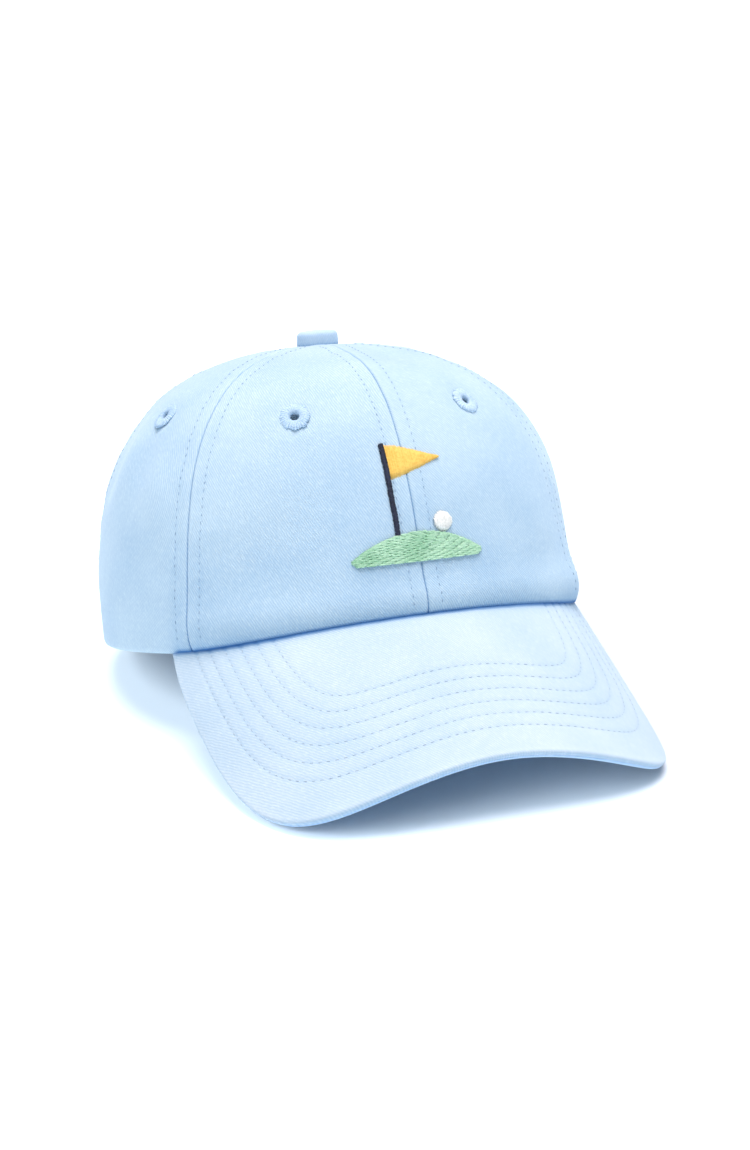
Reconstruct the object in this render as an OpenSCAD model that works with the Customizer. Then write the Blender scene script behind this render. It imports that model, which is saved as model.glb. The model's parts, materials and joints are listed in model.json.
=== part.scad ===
// Six-panel fabric baseball cap with a curved brim, a covered top button
// and a strap with a cam buckle at the back, as it stands on a table.
// Front (brim) faces -Y, +X is the wearer's left, +Z is up.

/* [Crown] */
// Half width of the crown at the hem
half_width = 87; // [85:0.5:89]
// Reach of the hem in front of the crown's axis
front_reach = 89; // [87:0.5:91]
// Reach of the hem behind the crown's axis
back_reach = 95; // [93:0.5:97]
// Height of the crown above the hem plane
crown_height = 102; // [98:1:108]
// How far the top button sits in front of the crown's axis
apex_forward = 8; // [4:1:12]
// Thickness of the cotton panels
panel_thick = 1.0; // [0.8:0.1:1.2]
// Angle of the two front seams from the middle of the front
front_seam = 54; // [50:1:57]
// Angle of the two rear seams from the middle of the front
rear_seam = 110; // [106:1:114]

/* [Brim] */
// Length of the brim in front of the crown
brim_length = 67; // [62:1:72]
// Half width of the brim, measured round its curve
brim_half_width = 96; // [95:0.5:98]
// Radius that the brim is bent to
brim_curve = 93; // [92:1:96]
// Downward slope of the brim from the hem plane
brim_slope = 38.5; // [37:0.5:40]
// Angle at which each end of the brim meets the crown
brim_end = 60; // [58:1:61]
// Thickness of the whole brim
brim_thick = 3.4; // [3:0.2:4]

/* [Eyelets and button] */
// Angle of the front eyelets from the middle of the front
front_eyelet = 27; // [24:1:30]
// Angle of the side eyelets
side_eyelet = 76; // [72:1:84]
// Angle of the rear eyelets
rear_eyelet = 145; // [140:1:150]
// Outer radius of an eyelet's stitched ring
eyelet_r = 5.2; // [4:0.2:6]
// Radius of an eyelet's air hole
eyelet_hole_r = 1.7; // [1.2:0.1:2]
// Radius of the covered button
button_r = 7.6; // [7:0.2:8.4]
// Height of the covered button
button_h = 5.4; // [5:0.2:6.4]

/* [Back closure] */
// Half width of the opening at the back
arch_r = 44; // [42:1:45]
// Height of the opening above the hem
arch_h = 48; // [44:1:52]
// Width of the strap
strap_w = 18; // [16:1:20]
// Thickness of the strap
strap_thick = 1.1; // [0.9:0.1:1.2]
// Angle of the buckle from the middle of the back, towards the wearer's right
buckle_turn = 23; // [21:1:23]
// Length of the buckle along the strap
buckle_l = 21; // [20:0.5:22]

/* [Inside] */
// Height of the sweatband
band_h = 33; // [30:1:36]
// Width of the seam tapes
tape_w = 13; // [11:1:14]

/* [Hidden] */
$fn = 48;
// the hem's outline is a little wider behind its middle
egg = -0.07;
// meridian handles at the front, side and back: height, lean and reach
handle_h = [0.56, 0.76, 0.70];
handle_lean = [0.10, -0.04, 0];
handle_reach = [0.86, 0.67, 0.92];
eyelet_t = 0.52;
panel_top_t = 0.985;
// pieces that are sewn or laid together are drawn this far apart
seam_gap = 0.1;

// how the cap stands: tilted back until brim corners and back hem touch the table
tilt = 15;
centring = 22.2;

// brim: outline is a superellipse about a centre behind the crown's front
brim_centre = 36;
brim_power = 2.8;
brim_edge_gap = 0.03;
cover_thick = 0.7;

// strap and buckle lie on arcs about an upright axis behind the crown's axis
arc_y = 17.8;
strap_r = 72.1;
strap_z = 5.5;
strap_left = 55;
strap_right = 45;
tab_r = strap_r + strap_thick + 0.3;
tab_thick = 0.9;
ear_thick = 1.2;
ear_gap = 0.4;
plate_thick = 1;
pin_r = 0.8;
pin_x = 8.3;
pin_y = 74.7;
knuckle_r = 1.7;
bar_y = 74.6;
lever_y = 76.1;
lever_thick = 1.2;
running_fit = 0.05;

// depth of the layers inside the crown, measured from its outer face
tape_depth = 1.4;
tape_thick = 0.45;
band_depth = 2.0;
band_thick = 1.2;
band_rear_shift = 3.3;

// ---- surfaces ----

function mix(a, b, share) = a + (b - a) * share;
function ramp(value, from, to) = min(max((value - from) / (to - from), 0), 1);

// a value blended round the crown from its front, side and back values
function round_crown(a, v) =
    let (f = pow(max(cos(a), 0), 2), b = pow(max(-cos(a), 0), 2))
    v[0] * f + v[1] * (1 - f - b) + v[2] * b;

// the hem's outline at angle a from the front, a depth inside the outer face
function outline(a, depth) =
    let (reach = cos(a) > 0 ? front_reach : back_reach)
    [(half_width - depth) * sin(a) * (1 - egg * cos(a)), -(reach - depth) * cos(a)];

function sag(x) = brim_curve - sqrt(brim_curve * brim_curve - x * x);

// the hem's two lowest points at the back are the corners of the opening
rear_corner = outline(180 - asin(arch_r / half_width / (1 + egg)), 0);
rest_lift = rear_corner.y * sin(tilt);

end_xy = outline(brim_end, 0);
front_hem = sag(end_xy.x) - (end_xy.y + front_reach) * tan(brim_slope);

// height of the brim's top face
function brim_z(p) = front_hem + (p.y + front_reach) * tan(brim_slope) - sag(p.x);

// the hem is flat, and follows the brim's top face over the brim
function hem_z(a, depth) =
    abs(a) <= brim_end ? brim_z(outline(a, min(max(depth, 0), panel_thick))) : 0;

// a point on the crown: a round it, t up it from the hem (0) to the top (1)
function crown_point(a, t, depth) =
    let (
        p = outline(a, depth),
        top = crown_height - depth,
        base = hem_z(a, depth),
        b1 = 3 * pow(1 - t, 2) * t,
        b2 = 3 * (1 - t) * t * t,
        r = pow(1 - t, 3) + b1 * (1 - round_crown(a, handle_lean)) + b2 * round_crown(a, handle_reach),
        rise = b1 * round_crown(a, handle_h) + b2 + t * t * t
    )
    [p.x * r, (p.y + apex_forward) * r - apex_forward, mix(base, top, rise)];

function crown_across(a, t) =
    let (d = crown_point(a + 1, t, 0) - crown_point(a - 1, t, 0)) d / norm(d);

function crown_normal(a, t) =
    let (
        up = crown_point(a, t + 0.01, 0) - crown_point(a, t - 0.01, 0),
        n = cross(crown_across(a, t), up)
    )
    n / norm(n);

// flat brim coordinates u (round the curve) and v (forward) of a point on the hem
function brim_uv(p) =
    [brim_curve * asin(p.x / brim_curve) * PI / 180, -(p.y + front_reach) / cos(brim_slope)];

end_uv = brim_uv(end_xy);
end_angle = atan2(end_uv.y + brim_centre, end_uv.x);

function superellipse(angle) =
    let (
        c = abs(cos(angle)) / brim_half_width,
        s = abs(sin(angle)) / (brim_length + brim_centre)
    )
    1 / pow(pow(c, brim_power) + pow(s, brim_power), 1 / brim_power);

// the brim's outer edge draws in to meet the crown at each end
end_draw = norm([end_uv.x, end_uv.y + brim_centre]) / superellipse(end_angle);

function brim_edge(angle) =
    let (
        past = sin(angle) < 0 ? pow(sin(angle) / sin(end_angle), 2) : 0,
        reach = superellipse(angle) * mix(1, end_draw, past)
    )
    [reach * cos(angle), reach * sin(angle) - brim_centre];

// a point on the brim: s from its right end to its left, w from crown to outer edge
function brim_flat(s, w) =
    let (
        inner = brim_uv(outline(mix(-brim_end, brim_end, s), panel_thick + 0.2)),
        outer = brim_edge(mix(180 - end_angle, end_angle, s))
    )
    mix(inner, outer, w);

function brim_point(s, w, depth) =
    let (
        flat = brim_flat(s, w),
        turn = flat.x / brim_curve * 180 / PI,
        n = [sin(turn) * cos(brim_slope), -cos(turn) * sin(brim_slope), cos(turn) * cos(brim_slope)],
        x = brim_curve * sin(turn),
        y = -front_reach - flat.y * cos(brim_slope)
    )
    [x, y, brim_z([x, y])] - n / norm(n) * depth;

// ---- solids from grids of points ----

function quad(a, b, c, d) = [[a, b, c], [a, c, d]];

// closed solid between an outer and an inner grid with the same rows and columns
module slab(outer, inner) {
    rows = len(outer);
    cols = len(outer[0]);
    half = rows * cols;
    last_row = (rows - 1) * cols;
    points = [for (grid = [outer, inner]) for (row = grid) for (p = row) p];
    faces = [
        for (i = [0:rows - 2]) for (j = [0:cols - 2])
            let (k = i * cols + j)
            each concat(
                quad(k, k + cols, k + cols + 1, k + 1),
                quad(half + k, half + k + 1, half + k + cols + 1, half + k + cols)
            ),
        for (j = [0:cols - 2])
            let (k = last_row + j)
            each concat(
                quad(j, j + 1, half + j + 1, half + j),
                quad(k + 1, k, half + k, half + k + 1)
            ),
        for (i = [0:rows - 2])
            let (k = i * cols, m = i * cols + cols - 1)
            each concat(
                quad(k + cols, k, half + k, half + k + cols),
                quad(m, m + cols, half + m + cols, half + m)
            )
    ];
    polyhedron(points, faces);
}

function crown_grid(a0, a1, t0, t1, depth, steps, rows) = [
    for (i = [0:rows]) [
        for (j = [0:steps]) crown_point(mix(a0, a1, j / steps), mix(t0, t1, i / rows), depth)
    ]
];

// a patch of the crown between two depths
module skin(a0, a1, t0, t1, depth, thick, steps, rows) {
    slab(
        crown_grid(a0, a1, t0, t1, depth, steps, rows),
        crown_grid(a0, a1, t0, t1, depth + thick, steps, rows)
    );
}

module standing() {
    translate([0, centring, rest_lift])
        rotate([-tilt, 0, 0])
            children();
}

// places its children on the crown's face, with +Z pointing outwards
module on_crown(a, t) {
    n = crown_normal(a, t);
    translate(crown_point(a, t, 0))
        rotate([0, acos(n.z), atan2(n.y, n.x)])
            children();
}

// ---- crown panels ----

module arch_outline(r) {
    base = arch_h - arch_r;
    translate([0, base])
        circle(r, $fn = 64);
    translate([-r, -5])
        square([2 * r, base + 5]);
}

// an upright outline carried backwards through the rear of the crown
module through_back() {
    translate([0, 110, 0])
        rotate([90, 0, 0])
            linear_extrude(70)
                children();
}

module eyelet_bore(a) {
    on_crown(a, eyelet_t)
        translate([0, 0, -3])
            cylinder(r = eyelet_hole_r + 0.9, h = 6);
}

panel_steps = 12;
panel_rows = 15;

module panel(a0, a1, eyelet_a) {
    difference() {
        skin(a0, a1, 0, panel_top_t, 0, panel_thick, panel_steps, panel_rows);
        eyelet_bore(eyelet_a);
        if (abs(a0 + a1) > 240)
            through_back()
                arch_outline(arch_r);
    }
}

module panel_front_left() { color("lightblue") standing() panel(0, front_seam, front_eyelet); }
module panel_front_right() { color("lightblue") standing() panel(-front_seam, 0, -front_eyelet); }
module panel_side_left() { color("lightblue") standing() panel(front_seam, rear_seam, side_eyelet); }
module panel_side_right() { color("lightblue") standing() panel(-rear_seam, -front_seam, -side_eyelet); }
module panel_rear_left() { color("lightblue") standing() panel(rear_seam, 180, rear_eyelet); }
module panel_rear_right() { color("lightblue") standing() panel(-180, -rear_seam, -rear_eyelet); }

// ---- seam tapes ----

function tape_rows(path, depth) = [
    for (at = path)
        let (p = crown_point(at[0], at[1], depth), side = at[2] * tape_w / 2)
        [p - side, p + side]
];

module tape_along(path) {
    slab(tape_rows(path, tape_depth), tape_rows(path, tape_depth + tape_thick));
}

module side_tape(a) {
    path = [for (i = [0:14]) let (t = mix(0.02, 0.9, i / 14)) [a, t, crown_across(a, t)]];
    tape_along(path);
}

// one tape runs from the front hem over the top to the opening at the back
module middle_tape() {
    across = [1, 0, 0];
    front = [for (i = [0:14]) [0, mix(0.02, 1, i / 14), across]];
    rear = [for (i = [0:10]) [180, mix(0.95, 0.38, i / 10), across]];
    difference() {
        tape_along(concat(front, rear));
        translate([0, -apex_forward, crown_height - 10])
            cylinder(r = 1.8, h = 20);
    }
}

module seam_tape_front_left() { color("skyblue") standing() side_tape(front_seam); }
module seam_tape_front_right() { color("skyblue") standing() side_tape(-front_seam); }
module seam_tape_rear_left() { color("skyblue") standing() side_tape(rear_seam); }
module seam_tape_rear_right() { color("skyblue") standing() side_tape(-rear_seam); }
module seam_tape_middle() { color("skyblue") standing() middle_tape(); }

// ---- eyelets ----

// a stitched ring with a barrel that lines the hole in the panel
module eyelet(a) {
    ring_h = 0.9;
    wall = 0.8;
    on_crown(a, eyelet_t)
        rotate_extrude() {
            translate([eyelet_hole_r, -panel_thick])
                square([wall, panel_thick + seam_gap + ring_h / 2]);
            translate([eyelet_hole_r, seam_gap])
                square([eyelet_r - eyelet_hole_r - ring_h / 2, ring_h]);
            translate([eyelet_r - ring_h / 2, seam_gap + ring_h / 2])
                circle(ring_h / 2);
        }
}

module eyelet_front_left() { color("powderblue") standing() eyelet(front_eyelet); }
module eyelet_front_right() { color("powderblue") standing() eyelet(-front_eyelet); }
module eyelet_side_left() { color("powderblue") standing() eyelet(side_eyelet); }
module eyelet_side_right() { color("powderblue") standing() eyelet(-side_eyelet); }
module eyelet_rear_left() { color("powderblue") standing() eyelet(rear_eyelet); }
module eyelet_rear_right() { color("powderblue") standing() eyelet(-rear_eyelet); }

// ---- button ----

// half section of a flat-topped dome with a rounded shoulder
module dome_section(r, h, shoulder) {
    square([r - shoulder, h]);
    square([r, h - shoulder]);
    intersection() {
        translate([r - shoulder, h - shoulder])
            circle(shoulder);
        square([r, h]);
    }
}

module dome_shell(r, h, shoulder, wall) {
    rotate_extrude()
        difference() {
            dome_section(r, h, shoulder);
            translate([0, -0.01])
                dome_section(r - wall, h - wall + 0.01, shoulder - wall);
        }
}

module at_apex() {
    translate([0, -apex_forward, crown_height])
        children();
}

cover_wall = 0.6;
shell_wall = 0.7;
shell_top = button_h - cover_wall - 0.05;

module button_cover() {
    color("lightblue")
        standing()
            at_apex()
                translate([0, 0, seam_gap])
                    dome_shell(button_r, button_h, 2.2, cover_wall);
}

module button_shell() {
    color("silver")
        standing()
            at_apex()
                translate([0, 0, seam_gap])
                    dome_shell(button_r - cover_wall - 0.05, shell_top, 1.5, shell_wall);
}

// a post with a head inside the shell and a flat foot under the seam tape
module button_rivet() {
    foot_top = -tape_depth - tape_thick - 3 * seam_gap;
    color("silver")
        standing()
            at_apex() {
                translate([0, 0, foot_top - 0.6])
                    cylinder(r = 5, h = 0.6);
                translate([0, 0, foot_top - 0.6])
                    cylinder(r = 1.6, h = shell_top - shell_wall - foot_top + 0.6);
                translate([0, 0, shell_top - shell_wall - 0.9])
                    cylinder(r = 4, h = 0.9);
            }
}

// ---- brim ----

function brim_grid(depth, w1) = [
    for (i = [0:5]) [for (j = [0:36]) brim_point(j / 36, mix(0, w1, i / 5), depth)]
];

module brim_layer(depth, thick, w1) {
    slab(brim_grid(depth + thick, w1), brim_grid(depth, w1));
}

module brim_top_cover() {
    color("lightcyan")
        standing()
            brim_layer(seam_gap, cover_thick, 1);
}

module brim_board() {
    depth = seam_gap + cover_thick + seam_gap;
    color("white")
        standing()
            brim_layer(depth, brim_thick - 2 * depth, 1 - brim_edge_gap);
}

module brim_bottom_cover() {
    color("lightsteelblue")
        standing()
            brim_layer(brim_thick - seam_gap - cover_thick, cover_thick, 1);
}

// ---- inside ----

// the band steps inwards at the back, where the strap runs behind the panels
function band_in(a, depth) = depth + band_rear_shift * ramp(abs(a), 104, 124);

function band_grid(depth, t1) = [
    for (i = [0:3]) [
        for (j = [0:48])
            let (a = mix(-148, 148, j / 48))
            crown_point(a, mix(0.012, t1, i / 3), band_in(a, depth))
    ]
];

module sweatband() {
    band_t = band_h / 190;
    color("aliceblue")
        standing()
            slab(band_grid(band_depth, band_t), band_grid(band_depth + band_thick, band_t));
}

module care_label() {
    color("white")
        standing()
            skin(84, 98, 0.02, 0.12, band_depth + band_thick + 3 * seam_gap, 0.4, 3, 2);
}

// the binding lies on the rear panels' inner faces and shares their grid
module opening_binding() {
    width = 8;
    half = 8;
    rows = 6;
    spread = (180 - rear_seam) * half / panel_steps;
    top_t = panel_top_t * rows / panel_rows;
    color("skyblue")
        standing()
            intersection() {
                skin(180 - spread, 180 + spread, 0, top_t, panel_thick + 0.05, 0.3, 2 * half, rows);
                through_back()
                    difference() {
                        arch_outline(arch_r + width);
                        translate([0, -1])
                            arch_outline(arch_r);
                    }
            }
}

// ---- strap and buckle ----

// an upright band on an arc about the strap's axis, angles from the back towards -X
module arc_band(from, to, r, thick, z, h) {
    translate([0, arc_y, z])
        rotate([0, 0, 90 + from])
            rotate_extrude(angle = to - from, $fn = 180)
                translate([r, 0])
                    square([thick, h]);
}

// buckle coordinates: +Y outwards from the strap's axis, -X towards the tab
module at_buckle() {
    translate([0, arc_y, 0])
        rotate([0, 0, buckle_turn])
            children();
}

module strap() {
    color("lightblue")
        standing()
            arc_band(-strap_left, strap_right, strap_r, strap_thick, strap_z, strap_w);
}

bar_x = -9;
eye_r = 1.2;

// a loop sewn behind the right rear panel that holds the buckle's bar
module buckle_tab() {
    z = strap_z + 1.5;
    h = strap_w - 3;
    eye_turn = buckle_turn + asin(-bar_x / bar_y);
    color("lightblue")
        standing()
            difference() {
                union() {
                    arc_band(eye_turn, 46, tab_r, tab_thick, z, h);
                    at_buckle()
                        translate([bar_x, bar_y, z])
                            cylinder(r = eye_r, h = h);
                }
                at_buckle()
                    translate([bar_x, bar_y, 0])
                        cylinder(r = pin_r, h = 40);
            }
}

ear_z = strap_z - ear_gap - ear_thick;
buckle_h = strap_w + 2 * (ear_gap + ear_thick);

// side ear: inner edge follows the back plate, outer corners are rounded
module ear_outline() {
    outer_y = lever_y + 0.2;
    corner = 2;
    half = buckle_l / 2;
    difference() {
        union() {
            translate([-half, 60])
                square([buckle_l, outer_y - corner - 60]);
            translate([-half + corner, 60])
                square([buckle_l - 2 * corner, outer_y - 60]);
            for (side = [-1, 1])
                translate([side * (half - corner), outer_y - corner])
                    circle(corner);
        }
        circle(strap_r - 0.3 - plate_thick, $fn = 180);
        translate([pin_x, pin_y])
            circle(pin_r);
    }
}

module buckle_frame() {
    half_turn = asin(buckle_l / 2 / strap_r);
    color("darkgoldenrod")
        standing() {
            arc_band(buckle_turn - half_turn, buckle_turn + half_turn,
                strap_r - 0.3 - plate_thick, plate_thick, ear_z, buckle_h);
            at_buckle() {
                for (z = [ear_z, ear_z + buckle_h - ear_thick])
                    translate([0, 0, z])
                        linear_extrude(ear_thick)
                            ear_outline();
                translate([bar_x, bar_y, ear_z])
                    cylinder(r = pin_r - running_fit, h = buckle_h);
            }
        }
}

module buckle_pin() {
    head = 0.4;
    color("goldenrod")
        standing()
            at_buckle()
                translate([pin_x, pin_y, ear_z]) {
                    cylinder(r = pin_r, h = buckle_h);
                    translate([0, 0, -head])
                        cylinder(r = pin_r + 0.5, h = head);
                    translate([0, 0, buckle_h])
                        cylinder(r = pin_r + 0.5, h = head);
                }
}

// a cover plate on a round knuckle that turns on the pin
module buckle_lever() {
    play = 0.15;
    h = buckle_h - 2 * ear_thick - 2 * play;
    tip = buckle_l / 2 + 0.8;
    color("goldenrod")
        standing()
            at_buckle()
                translate([0, 0, ear_z + ear_thick + play])
                    linear_extrude(h)
                        difference() {
                            union() {
                                translate([pin_x, pin_y])
                                    circle(knuckle_r);
                                translate([pin_x - knuckle_r, pin_y])
                                    square([knuckle_r, lever_y - pin_y + 0.2]);
                                translate([-tip, lever_y])
                                    square([tip + pin_x, lever_thick]);
                                for (x = [-tip, pin_x])
                                    translate([x, lever_y + lever_thick / 2])
                                        circle(lever_thick / 2);
                            }
                            translate([pin_x, pin_y])
                                circle(pin_r + running_fit);
                        }
}

// ---- emblem ----

emblem_x = 0;
emblem_z = 28;

// raised stitching: an upright outline wrapped onto the front of the crown
module stitched(thick) {
    intersection() {
        skin(-30, 30, 0.08, 0.72, -thick - seam_gap, thick, 16, 14);
        translate([emblem_x, -50, emblem_z])
            rotate([90, 0, 0])
                linear_extrude(60)
                    children();
    }
}

module emblem_mound() {
    color("palegreen")
        standing()
            stitched(0.9)
                intersection() {
                    translate([0, -34])
                        circle(41, $fn = 96);
                    translate([-24, -3])
                        square([48, 12]);
                }
}

module emblem_pole() {
    color("midnightblue")
        standing()
            stitched(0.8)
                translate([-7.8, 6.6])
                    square([1.6, 30.5]);
}

module emblem_flag() {
    color("gold")
        standing()
            stitched(0.9)
                polygon([[-6, 37], [13, 31.2], [-6, 25.4]]);
}

module emblem_ball() {
    color("white")
        standing()
            stitched(1.0)
                translate([10, 9.6])
                    circle(3.4);
}

panel_front_left();
panel_front_right();
panel_side_left();
panel_side_right();
panel_rear_left();
panel_rear_right();
seam_tape_front_left();
seam_tape_front_right();
seam_tape_rear_left();
seam_tape_rear_right();
seam_tape_middle();
eyelet_front_left();
eyelet_front_right();
eyelet_side_left();
eyelet_side_right();
eyelet_rear_left();
eyelet_rear_right();
button_cover();
button_shell();
button_rivet();
brim_top_cover();
brim_board();
brim_bottom_cover();
sweatband();
care_label();
opening_binding();
strap();
buckle_tab();
buckle_frame();
buckle_pin();
buckle_lever();
emblem_mound();
emblem_pole();
emblem_flag();
emblem_ball();
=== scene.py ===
"""A soft six-panel cotton cap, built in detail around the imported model.

Shapes are worked out in the cap's own frame, in millimetres and degrees: the brim points to
-Y, +X is the wearer's left and the hem lies in the plane z = 0. standing() turns that frame
into the shared one. a is an angle round the crown from its front, t runs up it from the hem
(0) to the button (1), and u and v are flat coordinates on the brim.
"""
import json
import math

import bmesh
import bpy
import numpy as np
from mathutils import Matrix, Vector


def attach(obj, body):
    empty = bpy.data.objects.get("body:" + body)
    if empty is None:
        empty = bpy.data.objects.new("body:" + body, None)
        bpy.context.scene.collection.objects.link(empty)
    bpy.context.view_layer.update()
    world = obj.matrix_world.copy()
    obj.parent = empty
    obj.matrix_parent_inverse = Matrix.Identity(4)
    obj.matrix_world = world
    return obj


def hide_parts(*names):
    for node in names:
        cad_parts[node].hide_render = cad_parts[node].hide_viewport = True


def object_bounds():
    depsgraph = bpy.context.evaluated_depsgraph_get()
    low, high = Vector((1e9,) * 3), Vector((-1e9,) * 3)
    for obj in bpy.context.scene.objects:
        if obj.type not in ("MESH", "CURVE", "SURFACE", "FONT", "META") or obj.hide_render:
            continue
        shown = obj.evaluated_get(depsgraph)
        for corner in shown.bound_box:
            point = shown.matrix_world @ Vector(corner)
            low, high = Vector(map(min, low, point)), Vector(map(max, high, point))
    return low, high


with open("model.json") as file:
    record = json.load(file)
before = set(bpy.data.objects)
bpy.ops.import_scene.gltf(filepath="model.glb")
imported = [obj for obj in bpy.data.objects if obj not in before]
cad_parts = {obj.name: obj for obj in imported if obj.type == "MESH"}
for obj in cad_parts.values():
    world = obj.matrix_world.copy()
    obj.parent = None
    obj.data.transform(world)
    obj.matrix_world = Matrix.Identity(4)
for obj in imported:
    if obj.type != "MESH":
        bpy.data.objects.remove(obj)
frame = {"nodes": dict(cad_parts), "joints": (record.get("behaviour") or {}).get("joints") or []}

CAD_BOX = [list(corner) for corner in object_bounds()]

# ---- the cap's driving dimensions, as in the CAD ----

HALF_WIDTH, FRONT_REACH, BACK_REACH, CROWN_HEIGHT = 87.0, 89.0, 95.0, 102.0
APEX_FORWARD, EGG = 8.0, -0.07
HANDLE_H, HANDLE_LEAN, HANDLE_REACH = (0.56, 0.76, 0.70), (0.10, -0.04, 0.0), (0.86, 0.67, 0.92)
FRONT_SEAM, REAR_SEAM = 54.0, 110.0
EYELETS = {"front": 27.0, "side": 76.0, "rear": 145.0}
EYELET_T = 0.52
BUTTON_R, BUTTON_H = 7.6, 5.4
BRIM_LENGTH, BRIM_HALF_WIDTH, BRIM_CURVE, BRIM_SLOPE = 67.0, 96.0, 93.0, math.radians(38.5)
BRIM_END, BRIM_CENTRE, BRIM_POWER, BRIM_THICK = 60.0, 36.0, 2.8, 3.4
ARCH_R, ARCH_BASE = 44.0, 4.0
ARC_Y, STRAP_R, STRAP_THICK, STRAP_Z, STRAP_W = 17.8, 72.1, 1.1, 5.5, 18.0
STRAP_LEFT, STRAP_RIGHT = -55.0, 45.0
TAB_R, TAB_THICK, BUCKLE_TURN, BAR_X, BAR_Y = 73.5, 0.9, 23.0, -9.0, 74.6
TAB_WIDTH = STRAP_W - 3
BAND_H, BAND_DEPTH, BAND_THICK, BAND_REAR_SHIFT = 33.0, 2.0, 1.2, 3.3
TAPE_W, TAPE_THICK = 13.0, 0.45
PANEL_THICK = 0.95
EMBLEM_Z = 28.0

SEAMS = (-REAR_SEAM, -FRONT_SEAM, 0.0, FRONT_SEAM, REAR_SEAM, 180.0)
STITCH_OFF = 5.2
BRIM_ROWS = [12.5 + 5.8 * k for k in range(6)]

# ---- placement in the shared frame ----

strap_joint = next(j for j in frame["joints"] if j["name"] == "strap_adjust")
SIN, COS = strap_joint["axis"][1], strap_joint["axis"][2]


def turned(p):
    p = np.asarray(p, float)
    y, z = p[..., 1], p[..., 2]
    return np.stack([p[..., 0], y * COS + z * SIN, z * COS - y * SIN], -1)


SHIFT = 1000 * np.array(strap_joint["pos_m"]) - turned([0, ARC_Y, STRAP_Z + STRAP_W / 2])


def standing(p):
    """Points of the cap's frame in millimetres as points of the shared frame in metres."""
    return (turned(p) + SHIFT) / 1000


# ---- small maths ----

def smooth(value, start, end):
    share = np.clip((np.asarray(value, float) - start) / (end - start), 0, 1)
    return share * share * (3 - 2 * share)


def hump(value, centre, width):
    return np.exp(-(((np.asarray(value, float) - centre) / width) ** 2))


def unit(v):
    return v / np.maximum(np.linalg.norm(v, axis=-1, keepdims=True), 1e-9)


def mix(a, b, share):
    return a + (b - a) * share


def waves(p, size, seed, stretch=(1, 1, 1), count=14):
    """Smooth noise from about -1 to 1 at points p, with features of about the given size."""
    rng = np.random.default_rng(seed)
    total = 0
    for _ in range(count):
        direction = unit(rng.normal(size=3)) / np.array(stretch)
        pitch = size * rng.uniform(0.75, 1.6)
        total = total + np.sin(p @ direction * (2 * math.pi / pitch) + rng.uniform(0, 6.28))
    return total / math.sqrt(count)


def lengths(path):
    """Distance from the first point along a line of points, or along each column of a grid."""
    steps = np.linalg.norm(np.diff(path, axis=0), axis=-1)
    return np.concatenate([np.zeros_like(steps[:1]), np.cumsum(steps, axis=0)])


def along(path, at, values=None):
    """Points of a line at the distances in at, or values that are given at its points."""
    s = lengths(path)
    values = path if values is None else values
    return np.stack([np.interp(at, s, values[:, k]) for k in range(values.shape[1])], -1)


# ---- the crown's surface ----

def outline(a, depth=0.0):
    """The hem seen from above, at a depth inside its outer face."""
    c, s = np.cos(np.radians(a)), np.sin(np.radians(a))
    reach = np.where(c > 0, FRONT_REACH, BACK_REACH)
    return (HALF_WIDTH - depth) * s * (1 - EGG * c), -(reach - depth) * c


def sag(x):
    """How far the curved brim drops at x beside its middle."""
    return BRIM_CURVE - np.sqrt(np.maximum(BRIM_CURVE ** 2 - np.asarray(x, float) ** 2, 1))


END_X, END_Y = (float(value) for value in outline(BRIM_END))
FRONT_HEM = float(sag(END_X) - (END_Y + FRONT_REACH) * math.tan(BRIM_SLOPE))


def brim_z(x, y):
    return FRONT_HEM + (y + FRONT_REACH) * math.tan(BRIM_SLOPE) - sag(x)


def round_crown(a, values):
    """A value that changes round the crown, from those of its front, sides and back."""
    c = np.cos(np.radians(a))
    f, b = np.clip(c, 0, 1) ** 2, np.clip(-c, 0, 1) ** 2
    return values[0] * f + values[1] * (1 - f - b) + values[2] * b


def crown(a, t):
    """A point of the crown's ideal outer face."""
    a, t = np.broadcast_arrays(np.asarray(a, float), np.asarray(t, float))
    x, y = outline(a)
    turn = (a + 180) % 360 - 180
    base = np.where(np.abs(turn) <= BRIM_END, brim_z(x, y), 0.0)
    b1, b2 = 3 * (1 - t) ** 2 * t, 3 * (1 - t) * t * t
    r = (1 - t) ** 3 + b1 * (1 - round_crown(a, HANDLE_LEAN)) + b2 * round_crown(a, HANDLE_REACH)
    rise = b1 * round_crown(a, HANDLE_H) + b2 + t ** 3
    return np.stack([x * r, (y + APEX_FORWARD) * r - APEX_FORWARD, mix(base, CROWN_HEIGHT, rise)], -1)


def across(a, t):
    """Millimetres moved per degree round the crown."""
    return crown(a + 0.5, t) - crown(a - 0.5, t)


def normal(a, t):
    t = np.clip(t, 0.012, 0.985)
    up = crown(a, t + 0.01) - crown(a, t - 0.01)
    return unit(np.cross(across(a, t), up))


def seam_gap(a, t):
    """Distance in millimetres from the nearest seam."""
    turn = np.min([np.abs((a - s + 180) % 360 - 180) for s in SEAMS], axis=0)
    return turn * np.linalg.norm(across(a, np.minimum(t, 0.98)), axis=-1)


def eyelet_polar(a, t):
    """Distance and direction from the nearest eyelet, seen flat on the cloth."""
    p = crown(a, t)
    best, angle = np.full(p.shape[:-1], 99.0), np.zeros(p.shape[:-1])
    for side in (-1, 1):
        for at in EYELETS.values():
            centre, across_way, up_way, out_way = eyelet_axes(side * at)
            flat = p - centre
            u, v = flat @ across_way, flat @ up_way
            r = np.hypot(u, v) + np.abs(flat @ out_way)
            angle = np.where(r < best, np.arctan2(v, u), angle)
            best = np.minimum(best, r)
    return best, angle


def eyelet_axes(a):
    """An eyelet's centre, the directions round and up the crown, and the way out."""
    centre, out = crown(a, EYELET_T), normal(a, EYELET_T)
    round_way = unit(across(a, EYELET_T))
    return centre, round_way, np.cross(out, round_way), out


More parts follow.
